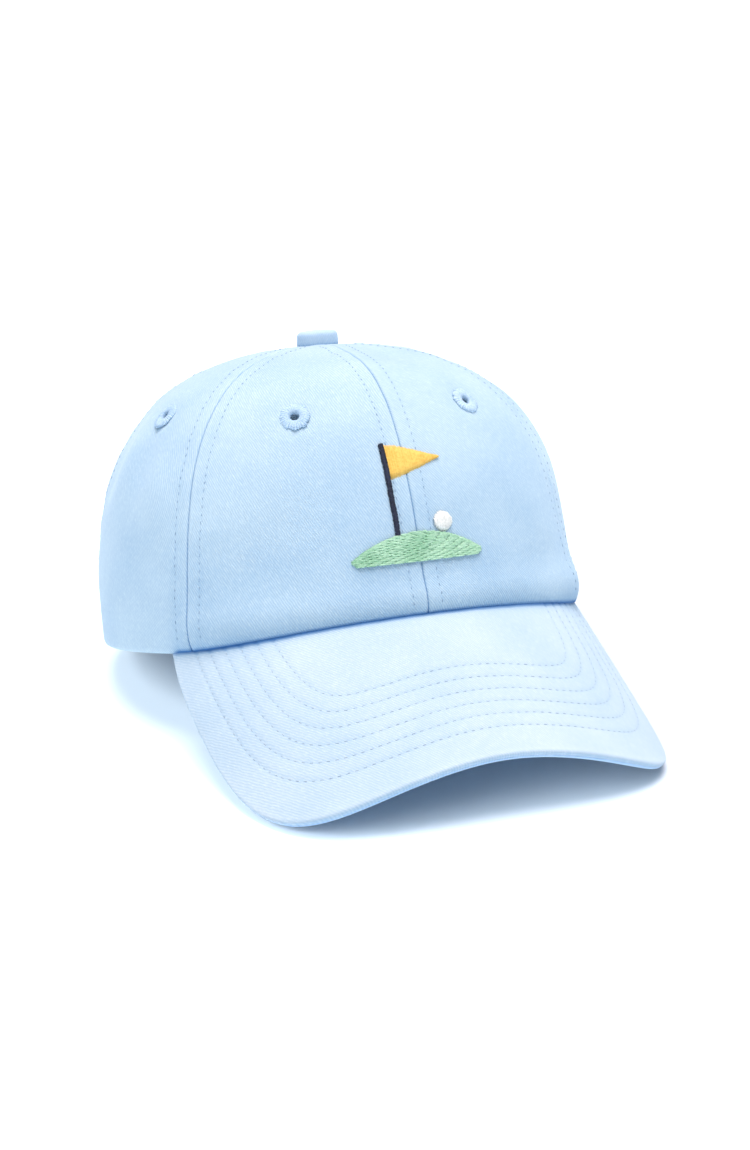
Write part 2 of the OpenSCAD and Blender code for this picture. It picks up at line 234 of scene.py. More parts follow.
def soft_relief(a, t):
    """How far the unlined cloth stands off its ideal surface: creases, dimples and rolls."""
    p = crown(a, t)
    turn = (a + 180) % 360 - 180
    height = t * 150
    free = smooth(height, 2, 22) * (1 - 0.75 * smooth(t, 0.86, 0.98))
    gap = seam_gap(a, t)
    held = 0.35 + 0.65 * smooth(gap, 2, 18)
    broad = 0.85 * waves(p, 62, 3, (1, 1, 1.5)) + 0.42 * waves(p, 27, 5, (1, 1, 1.6))
    pucker = 0.18 * waves(p, 8.5, 7) * hump(gap, 5, 4.5) * smooth(height, 3, 12)
    front = 1 - smooth(np.abs(turn), 52, 62)
    folds = 0.5 * waves(p, 26, 9, (1, 1, 3)) * (1 - front) * smooth(height, 16, 50)
    upright = folds * (1 - smooth(t, 0.6, 0.85))
    roll = front * (-0.9 * hump(height, 0, 1.5) + 1.3 * hump(height, 6, 5))
    corner = hump(turn, 56, 15) * (1.9 * hump(height, 5, 7) - 0.7 * hump(height, 26, 12))
    corner = corner + 0.9 * hump(turn, -50, 12) * hump(height, 10, 10)
    flank = -1.2 * hump(turn, -97, 9) * hump(height, 48, 34)
    r, angle = eyelet_polar(a, t)
    dimple = -0.42 * (1 - smooth(r, 4.6, 9.5)) + 0.16 * np.cos(7 * angle + 1) * hump(r, 8.0, 2.2)
    drop = -1.1 * hump(r, 15, 9) * hump(angle, -math.pi / 2, 0.28)
    top = 1 - 0.6 * smooth(t, 0.9, 0.99)
    return (free * held * (broad + upright) + pucker + roll + corner + flank + dimple + 0.35 * drop) * top


def seam_relief(a, t):
    """The sewn seams: a narrow ditch, the allowance raised beside it, and the stitch line."""
    gap = seam_gap(a, t)
    ditch = -0.4 * hump(gap, 0, 0.3) + 0.03 * hump(gap, 1.0, 0.7)
    allowance = 0.10 * smooth(gap, 0.2, 1.6) * (1 - smooth(gap, 5.0, 7.8))
    line = -0.10 * hump(gap, STITCH_OFF, 0.7)
    fade = 1 - 0.85 * smooth(t, 0.93, 0.985)
    return (ditch + allowance + line) * fade


def sunk(a, t, depth):
    """A point at a depth inside the crown's ideal surface."""
    return crown(a, t) - normal(a, t) * np.asarray(depth)[..., None]


def outside(a, t):
    """A point of the crown's real outer face, and the way out of it."""
    return sunk(a, t, -(soft_relief(a, t) + seam_relief(a, t))), normal(a, t)


def inside(a, t, depth):
    """A point at a depth inside the crown, following the cloth's creases."""
    return sunk(a, t, depth - soft_relief(a, t))


def find(x, z, back=False):
    """The angle and height at which the crown's front or back face passes through x and z."""
    x, z = np.asarray(x, float), np.asarray(z, float)
    a = np.degrees(np.arcsin(np.clip(x / HALF_WIDTH, -0.95, 0.95)))
    a = 180 - a if back else a
    t = np.clip(z / 200, 0.02, 0.6)
    for _ in range(12):
        p, step = crown(a, t), 0.02
        da, dt = (crown(a + 1, t) - p), (crown(a, t + step) - p) / step
        ex, ez = x - p[..., 0], z - p[..., 2]
        det = da[..., 0] * dt[..., 2] - da[..., 2] * dt[..., 0]
        a = a + np.clip((ex * dt[..., 2] - ez * dt[..., 0]) / det, -20, 20)
        t = np.clip(t + (ez * da[..., 0] - ex * da[..., 2]) / det, 0.0, 0.9)
    return a, t


# ---- meshes ----

def add_object(name, data):
    thing = bpy.data.objects.new(name, data)
    bpy.context.scene.collection.objects.link(thing)
    return thing


def make_piece(name, node, points, faces, material, cloth=None, shade=None, body="cap", slot=None,
        turn_out=True):
    """A piece from points of the cap's frame that rides on a body and hides a node's CAD part, if a node is
    given.

    Its slot, given or taken from its material's name, is not used.
    """
    slot = slot or material.name.partition(".")[0]
    points = np.asarray(points, float).reshape(-1, 3)
    used = np.unique(np.concatenate([np.ravel(f) for f in faces]))
    renumber = np.full(len(points), -1)
    renumber[used] = np.arange(len(used))
    mesh = bpy.data.meshes.new(name)
    mesh.from_pydata(standing(points[used]).tolist(), [], [renumber[list(f)].tolist() for f in faces])
    for key, kind, width, values in (("cloth", "FLOAT_VECTOR", 3, cloth), ("shade", "FLOAT", 1, shade)):
        if values is not None:
            store = mesh.attributes.new(key, kind, "POINT")
            flat = np.asarray(values, np.float32).reshape(-1, width)[used]
            store.data.foreach_set("vector" if width == 3 else "value", flat.ravel())
    if turn_out:
        work = bmesh.new()
        work.from_mesh(mesh)
        bmesh.ops.recalc_face_normals(work, faces=work.faces)
        if work.calc_volume(signed=True) < 0:
            bmesh.ops.reverse_faces(work, faces=work.faces)
        work.to_mesh(mesh)
        work.free()
    mesh.polygons.foreach_set("use_smooth", [True] * len(mesh.polygons))
    mesh.materials.append(material)
    mesh.update()
    piece = add_object(name, mesh)
    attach(piece, body)
    if node:
        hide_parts(node)
    return piece


def shell(outer, inner, keep=None):
    """Faces of a closed sheet between two grids; cells that keep leaves out become holes."""
    rows, cols = outer.shape[:2]
    keep = np.ones((rows - 1, cols - 1), bool) if keep is None else keep
    index = np.arange(rows * cols).reshape(rows, cols)
    half = rows * cols
    k0, k1, k2, k3 = index[:-1, :-1], index[:-1, 1:], index[1:, 1:], index[1:, :-1]
    faces = [np.stack([k0, k1, k2, k3], -1)[keep], np.stack([k3, k2, k1, k0], -1)[keep] + half]
    padded = np.pad(keep, 1)
    sides = (
        (padded[:-2, 1:-1], k0, k1), (padded[2:, 1:-1], k2, k3),
        (padded[1:-1, :-2], k3, k0), (padded[1:-1, 2:], k1, k2),
    )
    for beyond, first, second in sides:
        rim = keep & ~beyond
        p, q = first[rim], second[rim]
        faces.append(np.stack([q, p, p + half, q + half], -1))
    points = np.concatenate([outer.reshape(-1, 3), inner.reshape(-1, 3)])
    return points, np.concatenate(faces).tolist()


def flat_size(grid):
    """Area in square metres and (width, length) in metres of a grid of points in millimetres."""
    p, q, r = grid[:-1, :-1], grid[:-1, 1:], grid[1:, :-1]
    area = np.linalg.norm(np.cross(q - p, r - p), axis=-1).sum() / 1e6
    sides = [max(lengths(line)[-1] for line in lines) / 1000 for lines in (grid, grid.swapaxes(0, 1))]
    return float(area), (float(sides[0]), float(sides[1]))


def sheet_piece(name, node, outer, inner, material, cloth, shade, size, held, *rests_on, keep=None,
        body="cap", slot=None):
    """A closed sheet between two grids, with the same cloth coordinates and shade on both faces."""
    points, faces = shell(outer, inner, keep)
    piece = make_piece(name, node, points, faces, material, [cloth, cloth], [shade, shade], body, slot)


def flat_cloth(grid, rotate=0.0):
    """Flat cloth coordinates in millimetres for a grid of points, from its middle column."""
    mid = grid.shape[1] // 2
    side = lengths(grid.swapaxes(0, 1)).T
    side = side - side[:, mid:mid + 1]
    up = np.broadcast_to(lengths(grid[:, mid])[:, None], side.shape)
    c, s = math.cos(rotate), math.sin(rotate)
    return np.stack([side * c - up * s, side * s + up * c, np.zeros_like(side)], -1)


def tubes(lines, outs, width, height, end=0.45, sides=6):
    """Points and faces of threads: lines is (n, k, 3), outs the way out of the cloth at each."""
    k = lines.shape[1]
    tangent = unit(np.gradient(lines, axis=1))
    side = unit(np.cross(tangent, outs))
    up = np.cross(tangent, side)
    angle = np.arange(sides) * 2 * math.pi / sides
    scale = np.ones(k)
    scale[0] = scale[-1] = end
    ring = side[:, :, None] * (np.cos(angle)[:, None] * width / 2)
    ring = ring + up[:, :, None] * (np.sin(angle)[:, None] * height / 2)
    points = (lines[:, :, None] + ring * scale[None, :, None, None]).reshape(-1, 3)
    one = ring_faces(k, sides, capped=True)
    faces = [[first + corner for corner in face] for first in range(0, len(points), k * sides) for face in one]
    return points, faces


STITCH_SHARES = np.array([0, 0.2, 0.5, 0.8, 1.0])


def stitch_line(path, outs, pitch=2.9, size=1.7, lift=0.08, sink=0.3):
    """Short stitches along a path, with ends that dip into the cloth, and the way out at each."""
    sewn = lengths(path)[-1] - 0.8
    count = int(sewn // pitch)
    starts = 0.4 + np.arange(count) * sewn / max(count, 1)
    at = (starts[:, None] + size * STITCH_SHARES).ravel()
    flat = along(path, at).reshape(-1, 5, 3)
    out = unit(along(path, at, outs).reshape(-1, 5, 3))
    rise = np.array([-sink, 0.7 * lift, lift, 0.7 * lift, -sink])
    return flat + out * rise[None, :, None], out


def sew(name, runs, material, width=0.32, height=0.26, body="cap", slot="cotton_twill"):
    """One piece with all the stitches of several lines."""
    lines, outs = (np.concatenate([run[k] for run in runs]) for k in (0, 1))
    points, faces = tubes(lines, outs, width, height)
    each = np.random.default_rng(len(lines)).uniform(-1, 1, len(lines))
    shade = np.repeat(each, len(points) // len(lines))
    make_piece(name, None, points, faces, material, None, shade, body, slot, turn_out=False)


def lathe(profile, count, centre, axes, change):
    """Rings of points round an axis: profile is (r, h) pairs, and change makes them uneven."""
    profile = np.asarray(profile, float)
    phi = np.arange(count) * 2 * math.pi / count
    r, h = (np.repeat(profile[:, k:k + 1], count, 1) for k in (0, 1))
    r, h = change(r, h, phi[None, :])
    right, up, out = axes
    points = centre + (r * np.cos(phi))[..., None] * right + (r * np.sin(phi))[..., None] * up
    return points + h[..., None] * out


def ring_faces(rows, cols, capped=False):
    """Faces between closed rings of points: the last joins the first, or both ends are capped."""
    index = np.arange(rows * cols).reshape(rows, cols)
    if not capped:
        index = np.concatenate([index, index[:1]])
    index = np.concatenate([index, index[:, :1]], 1)
    faces = np.stack([index[:-1, :-1], index[:-1, 1:], index[1:, 1:], index[1:, :-1]], -1)
    faces = faces.reshape(-1, 4).tolist()
    if capped:
        faces += [list(range(cols))[::-1], list(range((rows - 1) * cols, rows * cols))]
    return faces


# ---- materials ----

class Nodes:
    """Short calls for building one material's node tree."""

    def __init__(self, name):
        self.material = bpy.data.materials.new(name)
        self.material.use_nodes = True
        self.tree = self.material.node_tree
        self.shader = self.tree.nodes["Principled BSDF"]

    def add(self, kind, inputs, **settings):
        """A node with values or links on its inputs; its outputs come back."""
        node = self.tree.nodes.new("ShaderNode" + kind)
        for key, value in settings.items():
            setattr(node, key, value)
        self.feed(node, inputs)
        return node.outputs

    def feed(self, node, inputs):
        for key, value in inputs.items():
            if isinstance(value, bpy.types.NodeSocket):
                self.tree.links.new(value, node.inputs[key])
            else:
                node.inputs[key].default_value = value

    def finish(self, colour, roughness, **rest):
        """Sets the shader's inputs; words in the names of the rest are joined by underscores."""
        self.feed(self.shader, {"Base Color": colour, "Roughness": roughness})
        self.feed(self.shader, {key.replace("_", " "): value for key, value in rest.items()})
        return self.material

    def math(self, operation, first, second=0.0, third=0.0):
        return self.add("Math", {0: first, 1: second, 2: third}, operation=operation)[0]

    def times(self, first, second, plus=0.0):
        return self.math("MULTIPLY_ADD", first, second, plus)

    def remap(self, value, low, high, to_low=0.0, to_high=1.0):
        return self.add("MapRange", {0: value, 1: low, 2: high, 3: to_low, 4: to_high})[0]

    def blend(self, share, first, second):
        return self.add("Mix", {0: share, 6: first, 7: second}, data_type="RGBA")[2]

    def noise(self, vector, scale, detail=2.0, rough=0.5):
        inputs = {"Vector": vector, "Scale": scale, "Detail": detail, "Roughness": rough}
        return self.add("TexNoise", inputs)[0]

    def stretch(self, source, scale, turn=0.0):
        return self.add("Mapping", {"Vector": source, "Rotation": (0, 0, turn), "Scale": scale})[0]

    def bump(self, height, strength, distance):
        return self.add("Bump", {"Height": height, "Strength": strength, "Distance": distance})[0]

    def attribute(self, name, output):
        return self.add("Attribute", {}, attribute_name=name)[output]

    def place(self):
        return self.add("TexCoord", {})["Object"]


def tint(r, g, b):
    """An sRGB colour as the linear value that shaders take."""
    return tuple(((c + 0.055) / 1.055) ** 2.4 if c > 0.04045 else c / 12.92 for c in (r, g, b)) + (1.0,)


TWILL_TURN = math.radians(32)
# The deep blue of the strongest painted shade, in seams and in the crease at the hem.
PAINTED_SHADE_BLUE = (0.035, 0.15, 0.40, 1.0)


def twill(name, light, dark, pitch=0.8, contrast=0.6, sheen=0.35):
    """Brushed cotton twill: diagonal ribs, uneven yarn, pale fibres, lighter rubbed ridges (wear), and painted
    shade that turns deep blue where it is strongest.
    """
    m = Nodes(name)
    cloth, shade = m.attribute("cloth", "Vector"), m.attribute("shade", "Fac")
    ribs = m.stretch(cloth, (1, 1, 1), TWILL_TURN)
    over = m.add("SeparateXYZ", {0: ribs})[0]
    phase = m.times(over, 2 * math.pi / pitch, m.times(m.noise(cloth, 0.35), 5.0))
    rib = m.times(m.math("SINE", phase), 0.5, 0.5)
    yarn = m.noise(m.stretch(ribs, (1.9, 0.55, 1)), 1.0, 2.0, 0.6)
    slub = m.remap(m.noise(m.stretch(ribs, (1.7, 0.42, 1)), 1.0, 2.0, 0.6), 0.46, 0.74)
    weave = m.times(rib, m.remap(yarn, 0.3, 0.7, 0.35, 1.0))
    broad = m.remap(m.noise(m.place(), 32.0, 3.0, 0.55), 0.3, 0.7, -0.16, 0.16)
    # Negative shade is painted shade; positive shade is wear on rubbed ridges and edges.
    level = m.times(shade, 0.55, m.times(weave, contrast, m.times(slub, 0.3, broad)))
    colour = m.blend(m.remap(level, -0.5, 1.0), tint(*dark), tint(*light))
    # Strong painted shade blends towards deep blue.
    colour = m.blend(m.remap(shade, -0.9, -2.4, 0.0, 0.92), colour, PAINTED_SHADE_BLUE)
    fuzz = m.times(m.noise(cloth, 3.2, 3.0, 0.7), 0.35)
    return m.finish(colour, m.remap(weave, 0, 1, 0.92, 0.8), Sheen_Weight=sheen, Sheen_Roughness=0.45,
        Sheen_Tint=(0.93, 0.97, 1.0, 1.0), Specular_IOR_Level=0.18,
        Normal=m.bump(m.times(weave, 0.8, fuzz), 0.55, 0.00012))


def thread(name, colour, dark, gloss=0.5):
    """Twisted sewing or embroidery thread; each stitch has its own shade."""
    m = Nodes(name)
    twist = m.noise(m.place(), 1400.0, 3.0, 0.6)
    broad = m.remap(m.noise(m.place(), 87.5), 0.3, 0.7, -0.25, 0.25)
    level = m.math("ADD", m.remap(twist, 0.3, 0.7, 0.1, 0.9), broad)
    level = m.times(m.attribute("shade", "Fac"), 0.16, level)
    roughness = m.remap(twist, 0, 1, 0.75 - 0.3 * gloss, 0.9 - 0.3 * gloss)
    return m.finish(m.blend(level, tint(*dark), tint(*colour)), roughness, Sheen_Weight=0.25,
        Sheen_Roughness=0.4, Specular_IOR_Level=0.3, Normal=m.bump(twist, 0.4, 0.00008))


def metal(name, colour, dark, rough=0.35, wear=0.5):
    """Plated or aged metal: fine scratches, and a darker film between rubbed places."""
    m = Nodes(name)
    film = m.remap(m.noise(m.place(), 900.0, 3.0, 0.55), 0.35, 0.65)
    lines = m.noise(m.stretch(m.place(), (300, 300, 4200)), 1.0)
    share = m.times(lines, 0.3, m.times(film, wear))
    return m.finish(m.blend(share, tint(*colour), tint(*dark)), m.remap(film, 0, 1, rough, rough + 0.2),
        Metallic=1.0, Normal=m.bump(lines, 0.12, 0.00005))


def plastic(name, colour):
    """Moulded sheet with a faint grain."""
    m = Nodes(name)
    grain = m.noise(m.place(), 900.0, 3.0)
    pale = tint(*colour)
    darker = tuple(0.8 * c for c in pale[:3]) + (1.0,)
    mixed = m.blend(m.remap(grain, 0.3, 0.7), darker, pale)
    return m.finish(mixed, m.remap(grain, 0, 1, 0.45, 0.6), Normal=m.bump(grain, 0.15, 0.00005))


def backdrop(name):
    """Plain pale paper, with no texture that would show."""
    m = Nodes(name)
    tone = m.noise(m.place(), 1.2)
    colour = m.blend(tone, tint(0.785, 0.815, 0.85), tint(0.80, 0.82, 0.845))
    return m.finish(colour, 0.95, Specular_IOR_Level=0.05)


COTTON = twill("cotton_twill", (0.825, 0.89, 0.91), (0.54, 0.68, 0.80), sheen=0.2)
# A paler, greyer copy of the crown's cloth with fainter ribs; the paler colour is painted light for the brim's
# brightly lit top.
BRIM_COTTON_PAINTED_LIGHT = twill("brim_twill_painted_light", (0.82, 0.86, 0.885), (0.60, 0.71, 0.80), contrast=0.45, sheen=0.2)
# A lighter copy of the crown's cloth with fainter ribs; the lighter colour is painted light.
BUTTON_COTTON_PAINTED_LIGHT = twill("button_twill_painted_light", (0.82, 0.89, 0.95), (0.64, 0.76, 0.89), contrast=0.35, sheen=0.2)
UNDERSIDE = twill("brim_underside", (0.80, 0.88, 0.95), (0.60, 0.74, 0.88))
BAND_CLOTH = twill("sweatband_cotton", (0.85, 0.91, 0.97), (0.66, 0.79, 0.92), pitch=0.6)
TAPE_CLOTH = twill("binding_tape", (0.83, 0.90, 0.96), (0.61, 0.76, 0.90), pitch=1.2, contrast=0.7)
SATIN = twill("label_satin", (0.96, 0.96, 0.955), (0.86, 0.87, 0.88), pitch=0.35, sheen=0.2)
SEWING = thread("sewing_thread", (0.71, 0.77, 0.82), (0.58, 0.65, 0.72))
# A darker copy of the sewing thread for the crown's seams: painted shade of the needle holes.
CROWN_SEWING_PAINTED_SHADE = thread("crown_sewing_thread_painted_shade", (0.62, 0.71, 0.80), (0.46, 0.57, 0.69))
EYELET_THREAD = thread("eyelet_thread", (0.80, 0.88, 0.94), (0.60, 0.72, 0.83), 0.9)
GREEN = thread("thread_green", (0.75, 0.89, 0.77), (0.54, 0.74, 0.59), 0.8)
NAVY = thread("thread_navy", (0.16, 0.19, 0.29), (0.06, 0.08, 0.14), 0.8)
YELLOW = thread("thread_yellow", (0.97, 0.81, 0.42), (0.88, 0.66, 0.26), 0.8)
WHITE = thread("thread_white", (0.97, 0.97, 0.945), (0.83, 0.83, 0.81), 0.8)
BRASS = metal("antique_brass", (0.66, 0.55, 0.36), (0.40, 0.31, 0.19), wear=0.35)
STEEL = metal("plated_steel", (0.80, 0.80, 0.80), (0.45, 0.45, 0.46), 0.3)
BOARD = plastic("brim_plastic", (0.90, 0.90, 0.88))

# ---- crown panels ----

NEAR_SEAM = np.array([0, 0.35, 0.75, 1.2, 1.8, 2.6, 3.6, 4.5, 5.2, 5.9, 7.0, 8.6, 10.4])
NEAR_HEM = np.array([0, 0.35, 0.8, 1.5, 2.5, 3.8, 5.4])
NEAR_TOP = np.array([0, 1.5])
NEAR_FOOT = np.array([0, 0.02, 0.6, 1.6])
COLUMN_STEP, ROW_STEP = 2.2, 2.1
BACK_RADIUS = 94.0
UNDER_BUTTON = 0.992
CUT_RING_R = 2.2


def stations(total, first, last, step):
    """Distances from 0 to total, closer at the two ends."""
    middle = np.linspace(first[-1], total - last[-1], max(int((total - first[-1] - last[-1]) / step), 2))
    return np.concatenate([first[:-1], middle, (total - last[:-1])[::-1]])


def column_angles(a0, a1, last=NEAR_SEAM, count=400):
    fine = np.linspace(a0, a1, count)
    s = lengths(crown(fine, 0.0))
    return np.interp(stations(s[-1], NEAR_SEAM, last, COLUMN_STEP), s, fine)


def row_shares():
    fine = np.linspace(0, 1, 400)
    s = lengths(crown(0.0, fine))
    return np.interp(stations(s[-1], NEAR_HEM, NEAR_TOP, ROW_STEP), s, fine)


def arch_start(a):
    """How far up the rear panels the opening reaches at an angle."""
    low, high = np.zeros_like(a), np.full_like(a, 0.6)
    for _ in range(40):
        t = (low + high) / 2
        p = crown(a, t)
        r = np.hypot(p[..., 0], np.maximum(p[..., 2] - ARCH_BASE, 0))
        low, high = np.where(r < ARCH_R, t, low), np.where(r < ARCH_R, high, t)
    return np.where(low < 1e-6, 0.0, high)


def rear_columns(a0):
    """Columns of a rear panel: even to the opening's foot, then spaced along its edge."""
    theta = np.radians(np.linspace(0, 90, 40))
    edge, _ = find(ARCH_R * np.cos(theta), ARCH_BASE + ARCH_R * np.sin(theta), back=True)
    foot = edge[0]
    before = column_angles(a0, foot, NEAR_FOOT, 300)
    near = 180 - np.degrees(NEAR_SEAM[::-1] / BACK_RADIUS)
    return np.concatenate([before, edge[(edge > foot + 0.02) & (edge < near[0] - 0.4)], near])


def eyelet_hole(a, t, at):
    """Moves the grid so that eight points ring the air hole, and says which cells it takes."""
    per_degree = np.linalg.norm(across(at, EYELET_T))
    per_t = np.linalg.norm(crown(at, EYELET_T + 0.01) - crown(at, EYELET_T - 0.01)) / 0.02
    u, v = (a - at) * per_degree, (t - EYELET_T) * per_t
    r = np.hypot(u, v)
    i, j = np.unravel_index(r.argmin(), r.shape)
    fade = 1 - smooth(r, 2, 16)
    u, v = u - u[i, j] * fade, v - v[i, j] * fade
    for spot in [(i + di, j + dj) for di in (-1, 0, 1) for dj in (-1, 0, 1) if di or dj]:
        angle = math.atan2(v[spot], u[spot])
        u[spot], v[spot] = CUT_RING_R * math.cos(angle), CUT_RING_R * math.sin(angle)
    keep = np.ones((a.shape[0] - 1, a.shape[1] - 1), bool)
    keep[i - 1:i + 1, j - 1:j + 1] = False
    return at + u / per_degree, EYELET_T + v / per_t, keep


def panel(name, a0, a1, at):
    """One crown panel as a sheet of cloth with turned edges."""
    mirror = a0 < 0
    low, high, spot = (-a1, -a0, -at) if mirror else (a0, a1, at)
    rear = high > 170
    angles = rear_columns(low) if rear else column_angles(low, high)
    a, share = np.meshgrid(angles, row_shares())
    start = arch_start(angles)[None, :] if rear else 0.0
    a, t, keep = eyelet_hole(a, start + (1 - start) * share * UNDER_BUTTON, spot)
    if mirror:
        a = -a
    outer, out = outside(a, t)
    thick = 0.25 + (PANEL_THICK - 0.25) * smooth(lengths(outer), 0, 1.3)
    turn_in = 0.3 * (1 - smooth(lengths(outer), 0, 1.2))
    outer = outer - out * turn_in[..., None]
    inner = inside(a, t, PANEL_THICK) + out * (PANEL_THICK - thick - turn_in)[..., None]
    gap, up = seam_gap(a, t), lengths(outer)
    # Painted shade in the seam's ditch and along its stitch line, and a lighter ridge beside the seam (wear).
    shade = -1.3 * hump(gap, 0, 0.22) + 0.1 * hump(gap, 1.1, 0.6) - 0.12 * hump(gap, STITCH_OFF, 0.6)
    on_brim = 1 - smooth(np.abs(a), 57, 61)
    # A lighter rubbed hem away from the brim (wear).
    shade = shade * (1 - smooth(t, 0.9, 0.97)) + 0.35 * (1 - on_brim) * hump(up, 0.6, 0.7)
    # Painted shade in the crease where the hem meets the brim, with a fainter painted shade up the lower
    # front.
    shade = shade - on_brim * (2.3 * hump(up, 0, 1.05) + 0.5 * hump(up, 0, 3.5) + 0.35 * hump(up, 6, 38))
    cloth = flat_cloth(outer) * (1 if mirror else -1, 1, 1) + np.array([a0, 0, 0])
    sheet_piece(name + "_cloth", name, outer, inner, COTTON, cloth, shade, flat_size(outer), "draped",
        "sweatband_cloth", "tape_middle", keep=keep)


PANELS = (
    ("panel_front_left", 0.0, FRONT_SEAM, EYELETS["front"]),
    ("panel_side_left", FRONT_SEAM, REAR_SEAM, EYELETS["side"]),
    ("panel_rear_left", REAR_SEAM, 180.0, EYELETS["rear"]),
    ("panel_front_right", -FRONT_SEAM, 0.0, -EYELETS["front"]),
    ("panel_side_right", -REAR_SEAM, -FRONT_SEAM, -EYELETS["side"]),
    ("panel_rear_right", -180.0, -REAR_SEAM, -EYELETS["rear"]),
)


def crown_stitches():
    """Two lines of stitches beside each seam."""
    runs = []
    for seam in SEAMS:
        t = np.linspace(0.36 if seam == 180 else 0.02, 0.93, 240)
        beside = STITCH_OFF / np.linalg.norm(across(seam, t), axis=-1)
        for side in (-1, 1):
            runs.append(stitch_line(*outside(seam + side * beside, t), pitch=2.75, size=1.25))
    sew("crown_stitching", runs, CROWN_SEWING_PAINTED_SHADE, 0.27, 0.22)


# ---- brim ----

def to_flat(x, y):
    turn = BRIM_CURVE * np.arcsin(np.clip(np.asarray(x, float) / BRIM_CURVE, -1, 1))
    return np.stack([turn, -(np.asarray(y, float) + FRONT_REACH) / math.cos(BRIM_SLOPE)], -1)


END_UV = to_flat(END_X, END_Y)
END_ANGLE = math.atan2(END_UV[1] + BRIM_CENTRE, END_UV[0])


def superellipse(angle):
    c = np.abs(np.cos(angle)) / BRIM_HALF_WIDTH
    s = np.abs(np.sin(angle)) / (BRIM_LENGTH + BRIM_CENTRE)
    return (c ** BRIM_POWER + s ** BRIM_POWER) ** (-1 / BRIM_POWER)


END_DRAW = math.hypot(END_UV[0], END_UV[1] + BRIM_CENTRE) / float(superellipse(END_ANGLE))


def brim_edge(share):
    """The brim's outer edge laid flat, at shares of the way from its right end to its left."""
    angle = mix(math.pi - END_ANGLE, END_ANGLE, share)
    past = np.where(np.sin(angle) < 0, (np.sin(angle) / math.sin(END_ANGLE)) ** 2, 0)
    reach = superellipse(angle) * mix(1, END_DRAW, past)
    return np.stack([reach * np.cos(angle), reach * np.sin(angle) - BRIM_CENTRE], -1)


def even_edge(count):
    """Shares at which the brim's outer edge is cut into even steps."""
    fine = np.linspace(0, 1, 4000)
    s = lengths(brim_edge(fine))
    return np.interp(np.linspace(0, s[-1], count), s, fine)


EDGE = brim_edge(even_edge(1800))


def edge_distance(flat):
    """Distance of flat points from the brim's outer edge."""
    parts = np.array_split(flat.reshape(-1, 2), 24)
    found = [np.sqrt(((part[:, None] - EDGE[None]) ** 2).sum(-1).min(1)) for part in parts]
    return np.concatenate(found).reshape(flat.shape[:-1])


def brim_space(flat, depth):
    """A point of the brim at a depth under its top face, and the way up out of it."""
    turn = flat[..., 0] / BRIM_CURVE
    n = unit(np.stack([
        np.sin(turn) * math.cos(BRIM_SLOPE), -np.cos(turn) * math.sin(BRIM_SLOPE),
        np.cos(turn) * math.cos(BRIM_SLOPE)], -1))
    x, y = BRIM_CURVE * np.sin(turn), -FRONT_REACH - flat[..., 1] * math.cos(BRIM_SLOPE)
    return np.stack([x, y, brim_z(x, y)], -1) - n * np.asarray(depth)[..., None], n


def quilting(flat):
    """Shallow channels along the brim's stitch rows, and slight unevenness between them."""
    distance = edge_distance(flat)
    p = np.concatenate([flat, 0 * flat[..., :1]], -1)
    channels = sum(hump(distance, row, 0.75) for row in BRIM_ROWS)
    puff = 0.05 * waves(p, 24, 21) + 0.04 * waves(p, 7, 22) * smooth(distance, 9, 14)
    return -0.2 * channels + puff, channels, distance


RIM_POWER, BRIM_WALL = 0.6, 0.75


def brim_cover(name, node, side, material, slot=None):
    """One cloth cover of the brim: side 1 is the top, -1 the underside. It turns round the rim."""
    share = even_edge(190)
    edge = brim_edge(share)
    line = to_flat(*outline(mix(-BRIM_END, BRIM_END, share), 1.2)) - edge
    span, way, tangent = np.linalg.norm(line, axis=-1), unit(line), unit(np.gradient(edge, axis=0))
    square = span * np.clip(np.abs(way[:, 0] * tangent[:, 1] - way[:, 1] * tangent[:, 0]), 0.3, 1)
    rim = np.minimum(BRIM_THICK / 2, span * 0.45)
    phi = np.radians(np.linspace(90, 0, 8)[:-1])[:, None]
    rest = np.linspace(0, 1, 84)[:, None]

    def grid(wall):
        """Flat points from the rim to the crown, their depths and their distances to the crown."""
        round_rim = (rim - (rim - wall) * np.sin(phi) ** RIM_POWER) / square
        far = np.concatenate([round_rim, rim / square + (1 - rim / square) * rest])
        depth = np.concatenate([rim - (rim - wall) * np.cos(phi) ** RIM_POWER, 0 * span + 0 * rest + wall])
        return edge + line * np.minimum(far, 1)[..., None], depth, (1 - far) * square

    flat, depth, to_hem = grid(0.0)
    inner_flat, inner_depth, _ = grid(BRIM_WALL)
    relief, channels, distance = quilting(flat)
    depth = depth - relief * smooth(distance, 1.5, 4)
    if side < 0:
        depth, inner_depth = BRIM_THICK - depth, BRIM_THICK - inner_depth
    outer, _ = brim_space(flat, depth)
    inner, _ = brim_space(inner_flat, inner_depth)
    # Painted shade in the stitched channels and in the seam round the rim, and a lighter rubbed band just
    # inside the rim (wear).
    shade = -0.28 * channels * (distance > 8) + 0.25 * hump(distance, 1.2, 0.9) - 0.9 * hump(distance, 0, 0.16)
    # Painted shade on the brim where the crown's hem rolls over it.
    shade = shade - 2.2 * hump(to_hem, 0.8, 1.15) - 0.4 * hump(to_hem, 1, 3.5)
    cloth = np.concatenate([flat, 0 * flat[..., :1]], -1)
    size = (flat_size(outer)[0], [float(wide) for wide in np.ptp(flat.reshape(-1, 2), axis=0) / 1000])
    sheet_piece(name, node, outer, inner, material, cloth, shade, size, "stretched", "brim_board", slot=slot)


